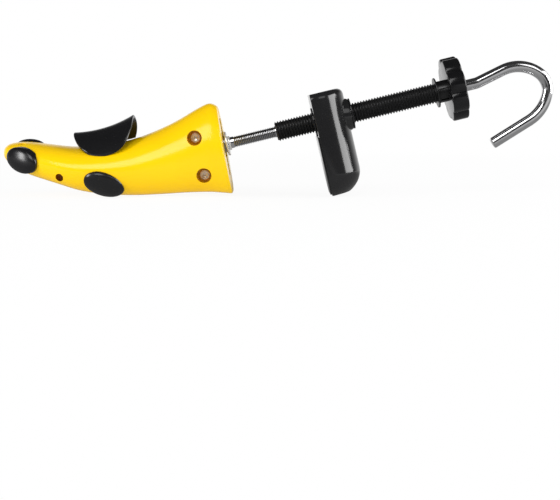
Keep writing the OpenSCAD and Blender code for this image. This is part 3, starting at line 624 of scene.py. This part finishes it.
def halfCutters():
    # What the CAD halves have cut out: the gear's rooms, wells and shanks, and the holes of the fittings
    past, seam, pivot, swingEnd = gear["past"], lastForm["seam"], gear["pivot"], gear["swingEnd"]
    made = [gearRoom(*gear["leaf"]), gearRoom(*gear["block"]), gearRoom(*gear["nut"])]
    cam = [(gear["camStart"], past), (gear["camStart"], -gear["camEnd"]), (gear["camFlat"], -gear["camEnd"])]
    cam += [(x, -y) for x, y in gear["cam"]]
    cam += [(gear["camLast"][0], -gear["camLast"][1]), (gear["camLast"][0], past)]
    made.append(moved(prism(cam, -gear["camHeight"], gear["camHeight"]), onRod))
    swing = (swingEnd - pivot) * math.tan(math.radians(gear["swing"]))
    wedge = [(pivot, past), (pivot, -seam), (swingEnd, -seam - swing), (swingEnd, past)]
    made.append(moved(prism(wedge, -gear["tall"], gear["tall"]), onRod))
    made.append(moved(rodAlong(*gear["rodRoom"]), onRod))
    spring = rodAlong(-past, gear["springDeep"], gear["springRoom"], 32)
    made.append(moved(spring, onRod, shifted(gear["springU"]), rotated(-90, "Z")))
    across = onRod.to_3x3() @ Vector((0, -1, 0))
    for w in gear["screwW"]:
        centre = onRod @ Vector((gear["screwU"], 0, w))
        made.append(drill(centre + across * gear["wellSeat"], across, gear["wellD"], tip=0))
        shank = centre + across * gear["shankFrom"]
        made.append(drill(shank, across, gear["shankD"], out=gear["shankOut"], tip=0))
    for index in range(len(holes["flank"])):
        made.append(drill(flankMouth(index) + Vector((0, holes["depth"], 0)), (0, -1, 0), holes["d"]))
    x, y, z = onLast(holes["toeTop"][0], -holes["toeTop"][1], holes["toeTop"][2])
    made.append(drill((x, y, z - holes["depth"]), (0, 0, 1), holes["d"]))
    made.append(drill(padFrame @ Vector((0, 0, -holes["padLow"])), padUp, holes["d"]))
    return made


def onSeamRim(edge):
    # An edge where the flat of the seam meets the skin or a room
    level = min(abs(face.normal.y) for face in edge.link_faces)
    return onSeam(edge) and level < 0.9 and edge.calc_length() > 0.3


def buildHalves():
    near = cutShape(lastBody(), halfCutters())
    soften(near, lastForm["seamRound"], 2, 40, keep=onSeamRim)
    # Painted shade: faces sunk below the skin in the holes and screw wells are marked to take the darker
    # colour
    inside = near.faces.layers.float.new("inside")
    wellsFrom = toeX + lastForm["length"] * shadeInHoles["wellsFrom"]
    for face in near.faces:
        middle = face.calc_center_median()
        if middle.y < -shadeInHoles["behind"] and face.calc_area() < shadeInHoles["largest"]:
            if skinTree.find_nearest(middle)[3] > shadeInHoles["under"]:
                face[inside] = shadeInHoles["wells"] if middle.x > wellsFrom else shadeInHoles["holes"]
    far = near.copy()
    bmesh.ops.scale(far, vec=(1, -1, 1), verts=far.verts)
    bmesh.ops.reverse_faces(far, faces=far.faces)
    makePiece(near, "near_last_half", "near_last", "last_yellow", "near_half", sharp=30, outwards=False)
    makePiece(far, "far_last_half", "far_last", "last_yellow", "far_half", sharp=30, outwards=False)


buildHalves()
print("halves of the last made")


# Screws, plugs and pad

screwLook = {"head": 3.45, "headLow": 10.5, "headHigh": 13.5, "headRound": 0.55,
             "shank": 2.0, "shankLow": 5.0, "socket": 2.15, "socketDeep": 0.7, "cone": 0.85,
             "coneWide": 0.95, "rim": 0.12, "rimWide": 2.3}


def screw():
    # A socket screw along X: turned head with a rounded rim and a six-sided socket with a coned floor
    look = screwLook
    high, low, socketWide = look["headHigh"], look["headLow"], look["socket"]

    def onTop(edge):
        return min(v.co.x for v in edge.verts) > high - 0.01

    def onSocket(edge):
        return onTop(edge) and all(math.hypot(v.co.y, v.co.z) < look["rimWide"] for v in edge.verts)

    head = turned([(0, look["shankLow"]), (look["shank"], look["shankLow"]), (look["shank"], low),
                   (look["head"], low), (look["head"], high), (0, high)], 48)
    soften(head, look["headRound"], 4, 40, keep=onTop)
    socket = wireStick(6, socketWide, 2 * look["socketDeep"], shifted(high), rotated(90, "Y"))
    floor = high - look["socketDeep"]
    cone = turned([(0, floor - look["cone"]), (socketWide * look["coneWide"], floor + 0.01),
                   (0, floor + 0.01)], 36)
    return soften(cutShape(head, [socket, cone]), look["rim"], 2, 40, keep=onSocket)


def buildScrews(side, name, body, node):
    both = bmesh.new()
    for w in gear["screwW"]:
        joinInto(both, moved(screw(), onRod, shifted(gear["screwU"], 0, w), rotated(90 * side, "Z")))
    makePiece(both, name, body, "bright_steel", node)


buildScrews(-1, "near_well_screws", "near_last", "near_screws")
buildScrews(1, "far_well_screws", "far_last", "far_screws")

plugs = {  # the hole, the cap's size, its yaw, droop and roll, and its shift from the stud
    "toe": {"hole": 0, "size": (26.0, 17.4), "turns": (28, 4, 15.3), "shift": (0.4, -0.2)},
    "ball": {"hole": 2, "size": (28.7, 19.0), "turns": (2, 33, 21.8), "shift": (0.2, 1.3)},
    "top": {"size": (21.0, 15.0), "lean": 22, "sink": 2.3, "ahead": 1.5, "more": 0.6, "stud": 0.4},
}
plugForm = {"around": 64, "up": 36, "rise": 3.0, "bulge": 1.4, "skirt": 4.0, "clear": 0.3, "lip": 0.35,
            "stud": 5.3, "studTip": 0.6, "gap": 0.5}


def dome(size, rise, *matrices):
    # A cap on the near half: the upper part of a flattened ball on a short skirt, cut to the skin under it
    bm = bmesh.new()
    bmesh.ops.create_uvsphere(bm, u_segments=plugForm["around"], v_segments=plugForm["up"], radius=1)
    bmesh.ops.bisect_plane(bm, geom=bm.verts[:] + bm.edges[:] + bm.faces[:], dist=0.0001,
                           plane_co=(0, 0, 0), plane_no=(0, 0, 1), clear_inner=True)
    deep = rise * plugForm["bulge"]
    bmesh.ops.scale(bm, vec=(size[0] / 2, size[1] / 2, deep), verts=bm.verts)
    rim = [e for e in bm.edges if len(e.link_faces) == 1]
    made = bmesh.ops.extrude_edge_only(bm, edges=rim)["geom"]
    skirt = [g for g in made if isinstance(g, bmesh.types.BMVert)]
    bmesh.ops.translate(bm, vec=(0, 0, -plugForm["skirt"]), verts=skirt)
    closeHoles(bm)
    bmesh.ops.translate(bm, vec=(0, 0, rise - deep), verts=bm.verts)
    cap = cutShape(moved(bm, *matrices), [lastBody(plugForm["clear"])])
    return soften(cap, plugForm["lip"], 3, 42)


def studOf(floor, direction, length):
    radius, tip = plugForm["stud"] / 2, plugForm["studTip"]
    stud = turned([(0, 0), (radius - tip, 0), (radius, tip), (radius, length), (0, length)], 32)
    return moved(stud, Matrix.Translation(floor), towards(direction))


def buildSidePlug(name, body, node, plug):
    mouth = flankMouth(plug["hole"])
    yaw, droop, roll = plug["turns"]
    cap = dome(plug["size"], plugForm["rise"], Matrix.Translation(mouth), Matrix.Scale(-1, 4, (0, 1, 0)),
               rotated(yaw, "Z"), rotated(-90 - droop, "X"), rotated(roll, "Z"), shifted(*plug["shift"]))
    deep = holes["depth"] - plugForm["gap"]
    joinInto(cap, studOf(mouth + Vector((0, deep, 0)), (0, -1, 0), deep + plugForm["rise"] / 2))
    makePiece(cap, name, body, "plug_black", node)


def buildTopPlug():
    # Made on the near half and mirrored to the far one, with its inner side cut flat beside the seam
    plug = plugs["top"]
    x, y, z = onLast(holes["toeTop"][0], -holes["toeTop"][1], holes["toeTop"][2])
    cap = dome(plug["size"], plugForm["rise"] + plug["more"],
               shifted(x + plug["ahead"], y, z - plug["sink"]), rotated(plug["lean"], "X"))
    cutFlat(cap, (0, -lastForm["seam"] - plugForm["clear"], 0), (0, 1, 0))
    closeHoles(cap)
    floor = Vector((x, y, z - holes["depth"] + plugForm["gap"]))
    joinInto(cap, studOf(floor, (0, 0, 1), holes["depth"] - plugForm["gap"] - plug["stud"]))
    bmesh.ops.scale(cap, vec=(1, -1, 1), verts=cap.verts)
    makePiece(cap, "toe_top_plug", "top_plug", "plug_black", "far_toe_plug")


buildSidePlug("toe_side_plug", "toe_plug", "near_toe_plug", plugs["toe"])
buildSidePlug("ball_side_plug", "ball_plug", "near_ball_plug", plugs["ball"])
buildTopPlug()

padLook = {"along": 0.457, "up": 0.7366, "length": 43.6, "width": 50.0, "drop": 17.3, "sag": 0.0059,
           "thick": 2.2, "corner": 2.8, "grid": 44, "rim": 0.6, "studDrop": 2.9, "clear": 0.6,
           "ridgeFrom": 4, "ridgeTo": 9, "ridgeSteps": 40, "reach": 60}


def underRidge():
    # All that lies below the ridge of the far half, which passes under the pad as the halves open
    first, last, steps = padLook["ridgeFrom"], padLook["ridgeTo"], padLook["ridgeSteps"]
    ridge = [lastPoint(first + (last - first) * i / steps, 0) for i in range(steps + 1)]
    outline = [(v.x, v.z + padLook["clear"]) for v in ridge]
    bm = prism([(outline[0][0], 0)] + outline + [(outline[-1][0], 0)], 0, padLook["reach"])
    return moved(bm, shifted(0, padLook["reach"], 0), rotated(90, "X"))


def buildPad():
    # A thin saddle: a square grid drawn out to a soft oval, bent, thickened and rounded at its rim
    look = padLook
    corner = look["corner"]
    bm = bmesh.new()
    bmesh.ops.create_grid(bm, x_segments=look["grid"], y_segments=look["grid"], size=1)
    for v in bm.verts:
        ring = max(abs(v.co.x), abs(v.co.y))
        turn = math.atan2(v.co.y, v.co.x)
        if ring > 1e-6:
            reach = (abs(math.cos(turn)) ** corner + abs(math.sin(turn)) ** corner) ** (-1 / corner)
            v.co.x = ring * reach * math.cos(turn) * look["length"] / 2
            v.co.y = ring * reach * math.sin(turn) * look["width"] / 2
        v.co.z = look["sag"] * v.co.x ** 2 - look["drop"] * (2 * v.co.y / look["width"]) ** 2
    pushedOut(bm, bm.faces[:], (0, 0, -look["thick"]), keep=True)
    bmesh.ops.recalc_face_normals(bm, faces=bm.faces)
    soften(bm, look["rim"], 5, 55)
    moved(bm, shifted(*onLast(look["along"], 0, look["up"])), rotated(-holes["padPitch"], "Y"))
    bm = cutShape(bm, [lastBody(plugForm["clear"]), underRidge()])
    low = holes["padLow"] - plugForm["gap"]
    joinInto(bm, studOf(padFrame @ Vector((0, 0, -low)), padUp, low - look["studDrop"]))
    makePiece(bm, "instep_saddle", "pad", "plug_black", "instep_pad")


buildPad()
print("screws, plugs and pad made")


# Rod, washer and hook

rodLook = {
    "radius": 4.0, "pitch": 1.25, "depth": 0.62, "front": (-63.0, -14.9), "journal": (-13.4, 6.9),
    "shown": (6.9, 37.0), "shownSteps": 32, "frontSteps": 20, "inner": (37.0, 172.0), "innerSlack": 0.04,
    "bendStart": 180.2, "sides": 48,
    "path": [(0, 12, -12.85), (18.5, 0, 0), (0, 25, 61), (0, 15, 63), (0, 26, 50), (29.4, 0, 0)],
    "tip": [(0.28, 0.96), (0.28, 0.90), (0.168, 0.82)],  # runs and shares of the radius at the sawn end
}


def buildRod():
    look = rodLook
    radius, depth, pitch = look["radius"], look["depth"], look["pitch"]
    whole = threaded(*look["shown"], radius, depth, pitch, look["shownSteps"])
    joinInto(whole, threaded(*look["front"], radius, depth, pitch, look["frontSteps"]))
    core, start = radius - depth, look["front"][1] - 0.2
    low, high = look["journal"]
    joinInto(whole, turned([(0, start), (core, start), (core, low), (radius, low), (radius, high),
                            (0, high)], 48))
    low, high = look["inner"]
    joinInto(whole, rodAlong(low - 0.3, high + 0.5, radius - look["innerSlack"]))
    bar = openRing(look["sides"], radius, shifted(high), rotated(90, "Y"))
    path = [(look["bendStart"] - high, 0, 0)] + look["path"]
    ring, place, heading = roundBar(bar, bar.edges[:], Vector((high, 0, 0)), 0.0, path)
    for run, share in look["tip"]:
        ring, place, heading = roundBar(bar, ring, place, heading, [(run, 0, 0)])
        for v in endsOf(ring):
            v.co = place + (v.co - place).normalized() * radius * share
    joinInto(whole, closeHoles(bar))
    shadeRoots(whole, radius, depth, [look["shown"], look["front"]])
    makePiece(whole, "hooked_rod", "rod", "rod_chrome", "hook_rod", onRod, sharp=28)


buildRod()

fittings = {  # from, to, outer and inner radius, rim
    "washer": (1.3, 2.8, 8.5, 4.06, 0.3),
    "hub": (2.9, 4.5, 5.0, 4.0, 0.5),
}


def buildFitting(name, body, node, size):
    makePiece(soften(ringShape(*size[:4]), size[4], 3, 40), name, body, "bright_steel", node, onRod)


buildFitting("back_washer", "carrier", "rod_washer", fittings["washer"])
buildFitting("rod_hub", "rod", "rod_collar", fittings["hub"])
print("rod and its fittings made")


# Threaded tube, stop ring and knob

tubeLook = {"radius": 7.0, "pitch": 2.0, "depth": 1.0, "steps": 36, "thread": (37.9, 151.4), "mouth": 37.4,
            "bore": 5.1, "neck": (152.6, 167.5), "neckRadius": 7.6, "neckRound": 0.3,
            "slots": 6, "slotWide": 1.5, "slotDeep": 1.0, "slotEnds": (1.6, 0.9), "slotTurn": 0.3,
            "ring": (152.1, 153.2, 10.4), "ringRound": 0.25}


def neckSlot(index):
    look = tubeLook
    low, high = look["neck"][0] + look["slotEnds"][0], look["neck"][1] - look["slotEnds"][1]
    wide, up = look["slotWide"] / 2, look["neckRadius"]
    slot = box((low, -wide, up - look["slotDeep"]), (high, wide, up + 2))
    return moved(slot, rotated(360 * (index + look["slotTurn"]) / look["slots"], "X"))


def buildTube():
    look = tubeLook
    radius, root = look["radius"], look["radius"] - look["depth"]
    low, high = look["thread"]
    whole = threaded(low, high, radius, look["depth"], look["pitch"], look["steps"])
    mouth = ringShape(look["mouth"], low + 0.4, root + 0.1, look["bore"], 64)
    joinInto(whole, soften(mouth, 0.15, 2))
    joinInto(whole, rodAlong(high - 0.3, look["neck"][0] + 0.3, root))
    neck = soften(rodAlong(*look["neck"], look["neckRadius"], 72), look["neckRound"], 2)
    joinInto(whole, cutShape(neck, [neckSlot(index) for index in range(look["slots"])]))
    shadeRoots(whole, radius, look["depth"], [look["thread"]])
    makePiece(whole, "screw_tube", "tube", "black_plastic", "thread_tube", onRod, sharp=30)
    ring = soften(ringShape(*look["ring"], root + 0.05), look["ringRound"], 3, 40)
    makePiece(ring, "stop_collar", "tube", "black_plastic", "tube_stop_ring", onRod)


buildTube()

knobLook = {"radius": 22.25, "lobes": 8, "lobe": 10.5, "turn": 0.7, "steps": 16, "low": 159.6, "high": 170.8,
            "edge": 1.3, "valley": 0.35, "valleyWide": 0.045, "hollow": 16.5, "hollowDeep": 1.0,
            "hollowSlope": 1.2, "hub": 9.6, "hubSlope": 0.6, "bore": 5.6}


def lobeReach(turn):
    # How far the knob's rim reaches at an angle, with its valleys cut a little deeper
    look = knobLook
    arm = look["radius"] - look["lobe"]
    part = 2 * math.pi / look["lobes"]
    away = (turn + part / 2) % part - part / 2
    reach = arm * math.cos(away) + math.sqrt(look["lobe"] ** 2 - (arm * math.sin(away)) ** 2)
    return reach - look["valley"] * (1 - min(1, abs(abs(away) - part / 2) / look["valleyWide"]))


def buildKnob():
    # A lobed wheel: a ring of points is pushed out to the lobes, drawn through and rounded
    look = knobLook
    low, high = look["low"], look["high"]
    bm = bmesh.new()
    bmesh.ops.create_circle(bm, cap_ends=True, segments=look["lobes"] * look["steps"], radius=look["radius"])
    for v in bm.verts:
        turn = math.atan2(v.co.y, v.co.x)
        v.co = Vector((math.cos(turn), math.sin(turn), 0)) * lobeReach(turn)
    pushedOut(bm, bm.faces[:], (0, 0, high - low), keep=True)
    bmesh.ops.recalc_face_normals(bm, faces=bm.faces)
    rims = [e for e in bm.edges if abs(e.verts[0].co.z - e.verts[1].co.z) < 0.001]
    bevelEdges(bm, rims, look["edge"], 5, clamp=False)
    moved(bm, rotated(360 * look["turn"] / look["lobes"], "Z"))
    moved(bm, shifted(low), rotated(90, "Y"))
    hollow, hub, floor = look["hollow"], look["hub"], high - look["hollowDeep"]
    wide = hollow + look["hollowSlope"]
    rearHollow = turned([(hub, high + 2), (wide, high + 2), (wide, high + 0.01), (hollow, floor),
                         (hub + look["hubSlope"], floor), (hub, high + 0.01)], 72, closed=True)
    bm = cutShape(bm, [rearHollow, rodAlong(low - 1, high + 3, look["bore"])])
    makePiece(bm, "lobed_knob", "tube", "knob_black", "knob", onRod, sharp=32)


buildKnob()
print("tube and knob made")


# Heel block

heelLook = {"front": 65.2, "radius": 23.8, "low": -52.195, "bellyFrom": -37.0, "belly": 18.8,
            "bellySteps": 14, "top": 19.5, "topRound": 4.5, "topStep": 15, "steps": 72,
            "frontRound": 0.5, "coverRound": 0.25,
            "boss": [(0, 76.0), (13.6, 76.0), (12.6, 84.0), (11.0, 90.2), (10.4, 91.1), (9.6, 91.2),
                     (0, 91.2)],
            "bore": 9.5, "boreEnd": 95, "proud": 1.0, "coverTop": -10.5, "coverIn": 1.2, "clear": 0.02,
            "nutFront": 10.2, "nutLip": 10.8, "nutBore": 7.06, "nutLipFrom": 91.2, "nutEnd": 92.2,
            "nutRound": 0.2}


def heelProfile(shrink=0.0):
    # Radius and height of the block, from its lower tip over the straight back to its top
    look = heelLook
    wide, tall, steps = look["radius"] - shrink, look["belly"] - shrink, look["bellySteps"]
    first = math.degrees(math.acos((look["bellyFrom"] - look["low"] - shrink) / tall))
    points = [(0, look["low"] + shrink)]
    for step in range(steps + 1):
        turn = math.radians(first + (90 - first) * step / steps)
        points.append((wide * math.sin(turn), look["bellyFrom"] - tall * math.cos(turn)))
    for angle in range(0, 91, look["topStep"]):
        turn = math.radians(angle)
        points.append((wide - look["topRound"] * (1 - math.cos(turn)),
                       look["top"] - look["topRound"] * (1 - math.sin(turn))))
    points.append((0, look["top"]))
    return points


def halfTurned(points, front, steps):
    # Turns an outline half way round the upright line at the block's front and closes the flat face
    bm = bmesh.new()
    corners = [bm.verts.new((front, -radius, height)) for radius, height in points]
    lines = [bm.edges.new(pair) for pair in zip(corners, corners[1:])]
    bmesh.ops.spin(bm, geom=corners + lines, cent=(front, 0, 0), axis=(0, 0, 1), angle=math.pi, steps=steps,
                   use_duplicate=False)
    bmesh.ops.remove_doubles(bm, verts=bm.verts, dist=0.001)
    closeHoles(bm)
    bmesh.ops.recalc_face_normals(bm, faces=bm.faces)
    return bm


def buildHeelBlock():
    look = heelLook
    front = look["front"]

    def onFrontRim(edge):
        flat = all(abs(v.co.x - front) < 0.001 for v in edge.verts)
        return flat and math.hypot(edge.verts[0].co.y, edge.verts[0].co.z) > look["bore"] + 1

    block = halfTurned(heelProfile(), front, look["steps"])
    block = cutShape(block, [turned(look["boss"], 72)], "UNION")
    block = cutShape(block, [rodAlong(front - 2, look["boreEnd"], look["bore"])])
    soften(block, look["frontRound"], 3, 40, keep=onFrontRim)
    makePiece(block, "heel_shell", "heel", "heel_black", "heel_block", onRod, sharp=30)


def buildHeelCover():
    look = heelLook
    cover = halfTurned(heelProfile(look["coverIn"]), look["front"] - look["proud"], look["steps"])
    trim = box((0, -40, look["coverTop"]), (120, 40, 60))
    back = box((look["front"] - look["clear"], -40, -80), (120, 40, 80))
    cover = soften(cutShape(cover, [trim, back]), look["coverRound"], 2, 50)
    makePiece(cover, "heel_plate", "heel", "heel_black", "heel_cover", onRod)


def buildHeelNut():
    look = heelLook
    start, seat = look["front"] - look["proud"], look["front"] - look["clear"]
    outer, bore, lip = look["bore"] - look["clear"], look["nutBore"], look["nutLip"]
    lipFrom, end = look["nutLipFrom"], look["nutEnd"]
    wide = look["nutFront"]
    bush = turned([(bore, start), (wide, start), (wide, seat), (outer, seat), (outer, lipFrom),
                   (lip, lipFrom + look["clear"]), (lip, end), (bore, end)], 72, closed=True)
    makePiece(soften(bush, look["nutRound"], 2, 40), "heel_bush", "heel", "heel_black", "heel_nut", onRod)


buildHeelBlock()
buildHeelCover()
buildHeelNut()
print("heel block made")


# Return spring and the gear that stays as it is in the CAD

springLook = {"radius": 2.6, "wire": 0.4, "coils": 11, "half": 6.0, "pin": 9.2, "eye": 1.9, "eyeSteps": 24,
              "steps": 20, "sides": 8, "tailMore": 0.6}


def buildSpring(side, name):
    # Half of the coil with its eye; the two halves are built apart and ride on no body
    look = springLook
    radius, wire, sides, half = look["radius"], look["wire"], look["sides"], look["half"]
    turns = look["coils"] / 2
    steps = round(look["steps"] * turns)
    coil = openRing(sides, wire, shifted(radius), rotated(90, "X"))
    bmesh.ops.spin(coil, geom=coil.verts[:] + coil.edges[:], cent=(0, 0, 0), axis=(0, 1, 0),
                   dvec=(0, side * half / steps, 0), angle=2 * math.pi * turns, steps=steps,
                   use_duplicate=False)
    closeHoles(coil)
    eye = openRing(sides, wire, shifted(look["eye"]), rotated(90, "X"))
    bmesh.ops.spin(eye, geom=eye.verts[:] + eye.edges[:], cent=(0, 0, 0), axis=(0, 0, 1), angle=2 * math.pi,
                   steps=look["eyeSteps"], use_merge=True, use_duplicate=False)
    joinInto(coil, moved(eye, shifted(0, side * look["pin"], 0)))
    joinInto(coil, wireStick(sides, wire, radius + 2 * wire,
                             shifted(-radius / 2, side * half, 0), rotated(90, "Y")))
    span = look["pin"] - look["eye"] - half
    joinInto(coil, wireStick(sides, wire, span + look["tailMore"],
                             shifted(0, side * (half + span / 2), 0), rotated(90, "X")))
    piece = makePiece(coil, name, None, "bright_steel", "return_spring",
                      onRod @ shifted(gear["springU"]))
    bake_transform(piece)


buildSpring(-1, "spring_near")
buildSpring(1, "spring_far")

gearFinish = {
    "zinc_steel": ["near_hinge_leaf", "far_hinge_leaf", "trunnion_block", "thrust_ring", "spreader",
                   "near_spring_pin", "far_spring_pin", "rod_end_nut", "tube_snap_rings"],
    "bright_steel": ["upper_hinge_pin", "lower_hinge_pin"],
}
for slot, names in gearFinish.items():
    for name in names:
        materials = frame["nodes"][name].data.materials
        materials.clear()
        materials.append(finishes[slot])
print("spring and inner gear made")


# Floor, light and camera

stageLook = {  # the mirror values are what glossy surfaces see; each ramp is its start and its rise
    "size": 6.0, "under": 0.0005, "floor": (0.93, 0.93, 0.935, 1), "shadow": 0.08, "shadowReach": 0.7,
    "glow": 0.55, "world": 0.30,
    "mirrorNear": 0.25, "mirrorLeast": 0.05, "mirrorGap": 0.2, "gapRamp": (-0.12, -4.0),
    "mirrorSides": 0.45, "sideRamp": (0.1, 5.0), "sideFront": (-0.05, -5.0), "behindRamp": (0.05, 3.0),
    "mirrorFront": 0.035, "backRamp": (0.3, 2.5), "topRamp": (0.5, -3.0),
}


def lightPath(tree, *kinds):
    # 1 for a ray of any of these kinds, otherwise 0
    found = tree.node("LightPath", out=kinds[0])
    for kind in kinds[1:]:
        found = found + tree.node("LightPath", out=kind)
    return found.clamped()


def floorMaterial():
    look = stageLook
    material, tree = newTree("paleFloor")
    where = tree.node("TexCoord", out=3)
    distance = tree.node("VectorMath", {"operation": "LENGTH"}, {0: where}, out=1)
    far = (distance * (1 / look["shadowReach"])).clamped()
    toSide = tree.node("Math", {"operation": "ABSOLUTE"}, {0: where.part(0)})
    toBack = where.part(1)
    direct = lightPath(tree, "Is Camera Ray", "Is Transmission Ray")
    glossy = lightPath(tree, "Is Glossy Ray")
    other = (1 - direct - glossy).clamped()
    gap = toBack.ramp(*look["gapRamp"]) * look["mirrorGap"]
    sides = toSide.ramp(*look["sideRamp"]) * toBack.ramp(*look["sideFront"]) * look["mirrorSides"]
    behind = toBack.ramp(*look["behindRamp"]) * (1 - look["mirrorNear"])
    mirror = (look["mirrorNear"] - gap + sides + behind).clamped(look["mirrorLeast"], 1.0)
    plain = tree.node("BsdfDiffuse", {}, {"Color": look["floor"]})
    white = tree.node("Emission", {}, {"Color": (1, 1, 1, 1), "Strength": direct + glossy * mirror + other})
    share = direct * (1 - look["shadow"] * (1 - far)) + glossy + other * look["glow"]
    shader = tree.node("MixShader", {}, {0: share.clamped(), 1: plain, 2: white})
    tree.node("OutputMaterial", {}, {"Surface": shader})
    material.cycles.emission_sampling = "NONE"
    return material


def buildFloor():
    bm = bmesh.new()
    bmesh.ops.create_grid(bm, x_segments=1, y_segments=1, size=stageLook["size"] / 2)
    floor = toObject(bm, "floor")
    floor.location.z = cadBox[0].z - stageLook["under"]
    floor.data.materials.append(floorMaterial())


def buildWorld():
    look = stageLook
    world = bpy.data.worlds.new("studio")
    bpy.context.scene.world = world
    world.use_nodes = True
    world.cycles.sampling_method = "NONE"
    world.node_tree.nodes.clear()
    tree = Wire(world.node_tree)
    direct = lightPath(tree, "Is Camera Ray", "Is Transmission Ray")
    glossy = lightPath(tree, "Is Glossy Ray")
    way = tree.node("TexCoord", out=0)
    low = way.part(2).ramp(*look["topRamp"])
    mirror = (way.part(1).ramp(*look["backRamp"]) * low).clamped(look["mirrorFront"], 1.0)
    strength = direct + (1 - direct) * (glossy * mirror + (1 - glossy) * look["world"])
    back = tree.node("Background", {}, {"Color": (1, 1, 1, 1), "Strength": strength})
    tree.node("OutputWorld", {}, {"Surface": back})


buildFloor()
buildWorld()

lamps = {
    "key": {"place": (-0.25, -0.93, 0.74), "aim": (0, 0, 0.03), "size": (0.55, 0.66), "power": 4.2},
    "rightStrip": {"place": (0.93, -0.11, 0.33), "aim": (0.05, 0, 0.05), "size": (0.58, 0.62), "power": 8.4},
    "leftStrip": {"place": (-0.86, -0.50, 0.27), "aim": (-0.1, 0, 0.03), "size": (0.22, 0.52), "power": 5.0},
    "rightFront": {"place": (0.58, -0.69, 0.63), "aim": (0.15, 0, 0.07), "size": (0.40, 0.45), "power": 0.9},
}
for name, lamp in lamps.items():
    light = bpy.data.lights.new(name, "AREA")
    light.shape = "RECTANGLE"
    light.size, light.size_y = lamp["size"]
    light.energy = lamp["power"]
    lampObject = bpy.data.objects.new(name, light)
    lampObject.location = lamp["place"]
    aim = Vector(lamp["aim"]) - Vector(lamp["place"])
    lampObject.rotation_euler = aim.to_track_quat("-Z", "Y").to_euler()
    bpy.context.scene.collection.objects.link(lampObject)

cameraLook = {"place": (0.000466, -0.730, 0.064839), "turn": -0.0011, "down": 0.1424, "roll": 0.0009,
              "lens": 66.33, "sensor": 36, "clipEnd": 20}
camera = bpy.data.objects.new("camera", bpy.data.cameras.new("camera"))
camera.data.lens = cameraLook["lens"]
camera.data.sensor_width = cameraLook["sensor"]
camera.data.clip_end = cameraLook["clipEnd"]
camera.location = cameraLook["place"]
turn = Matrix.Rotation(cameraLook["turn"], 3, "Z")
tilt = Matrix.Rotation(math.pi / 2 - cameraLook["down"], 3, "X")
roll = Matrix.Rotation(cameraLook["roll"], 3, "Z")
camera.rotation_euler = (turn @ tilt @ roll).to_euler()
bpy.context.scene.collection.objects.link(camera)
bpy.context.scene.camera = camera
bpy.context.scene.view_settings.view_transform = "Standard"
print("stage, lamps and camera made")
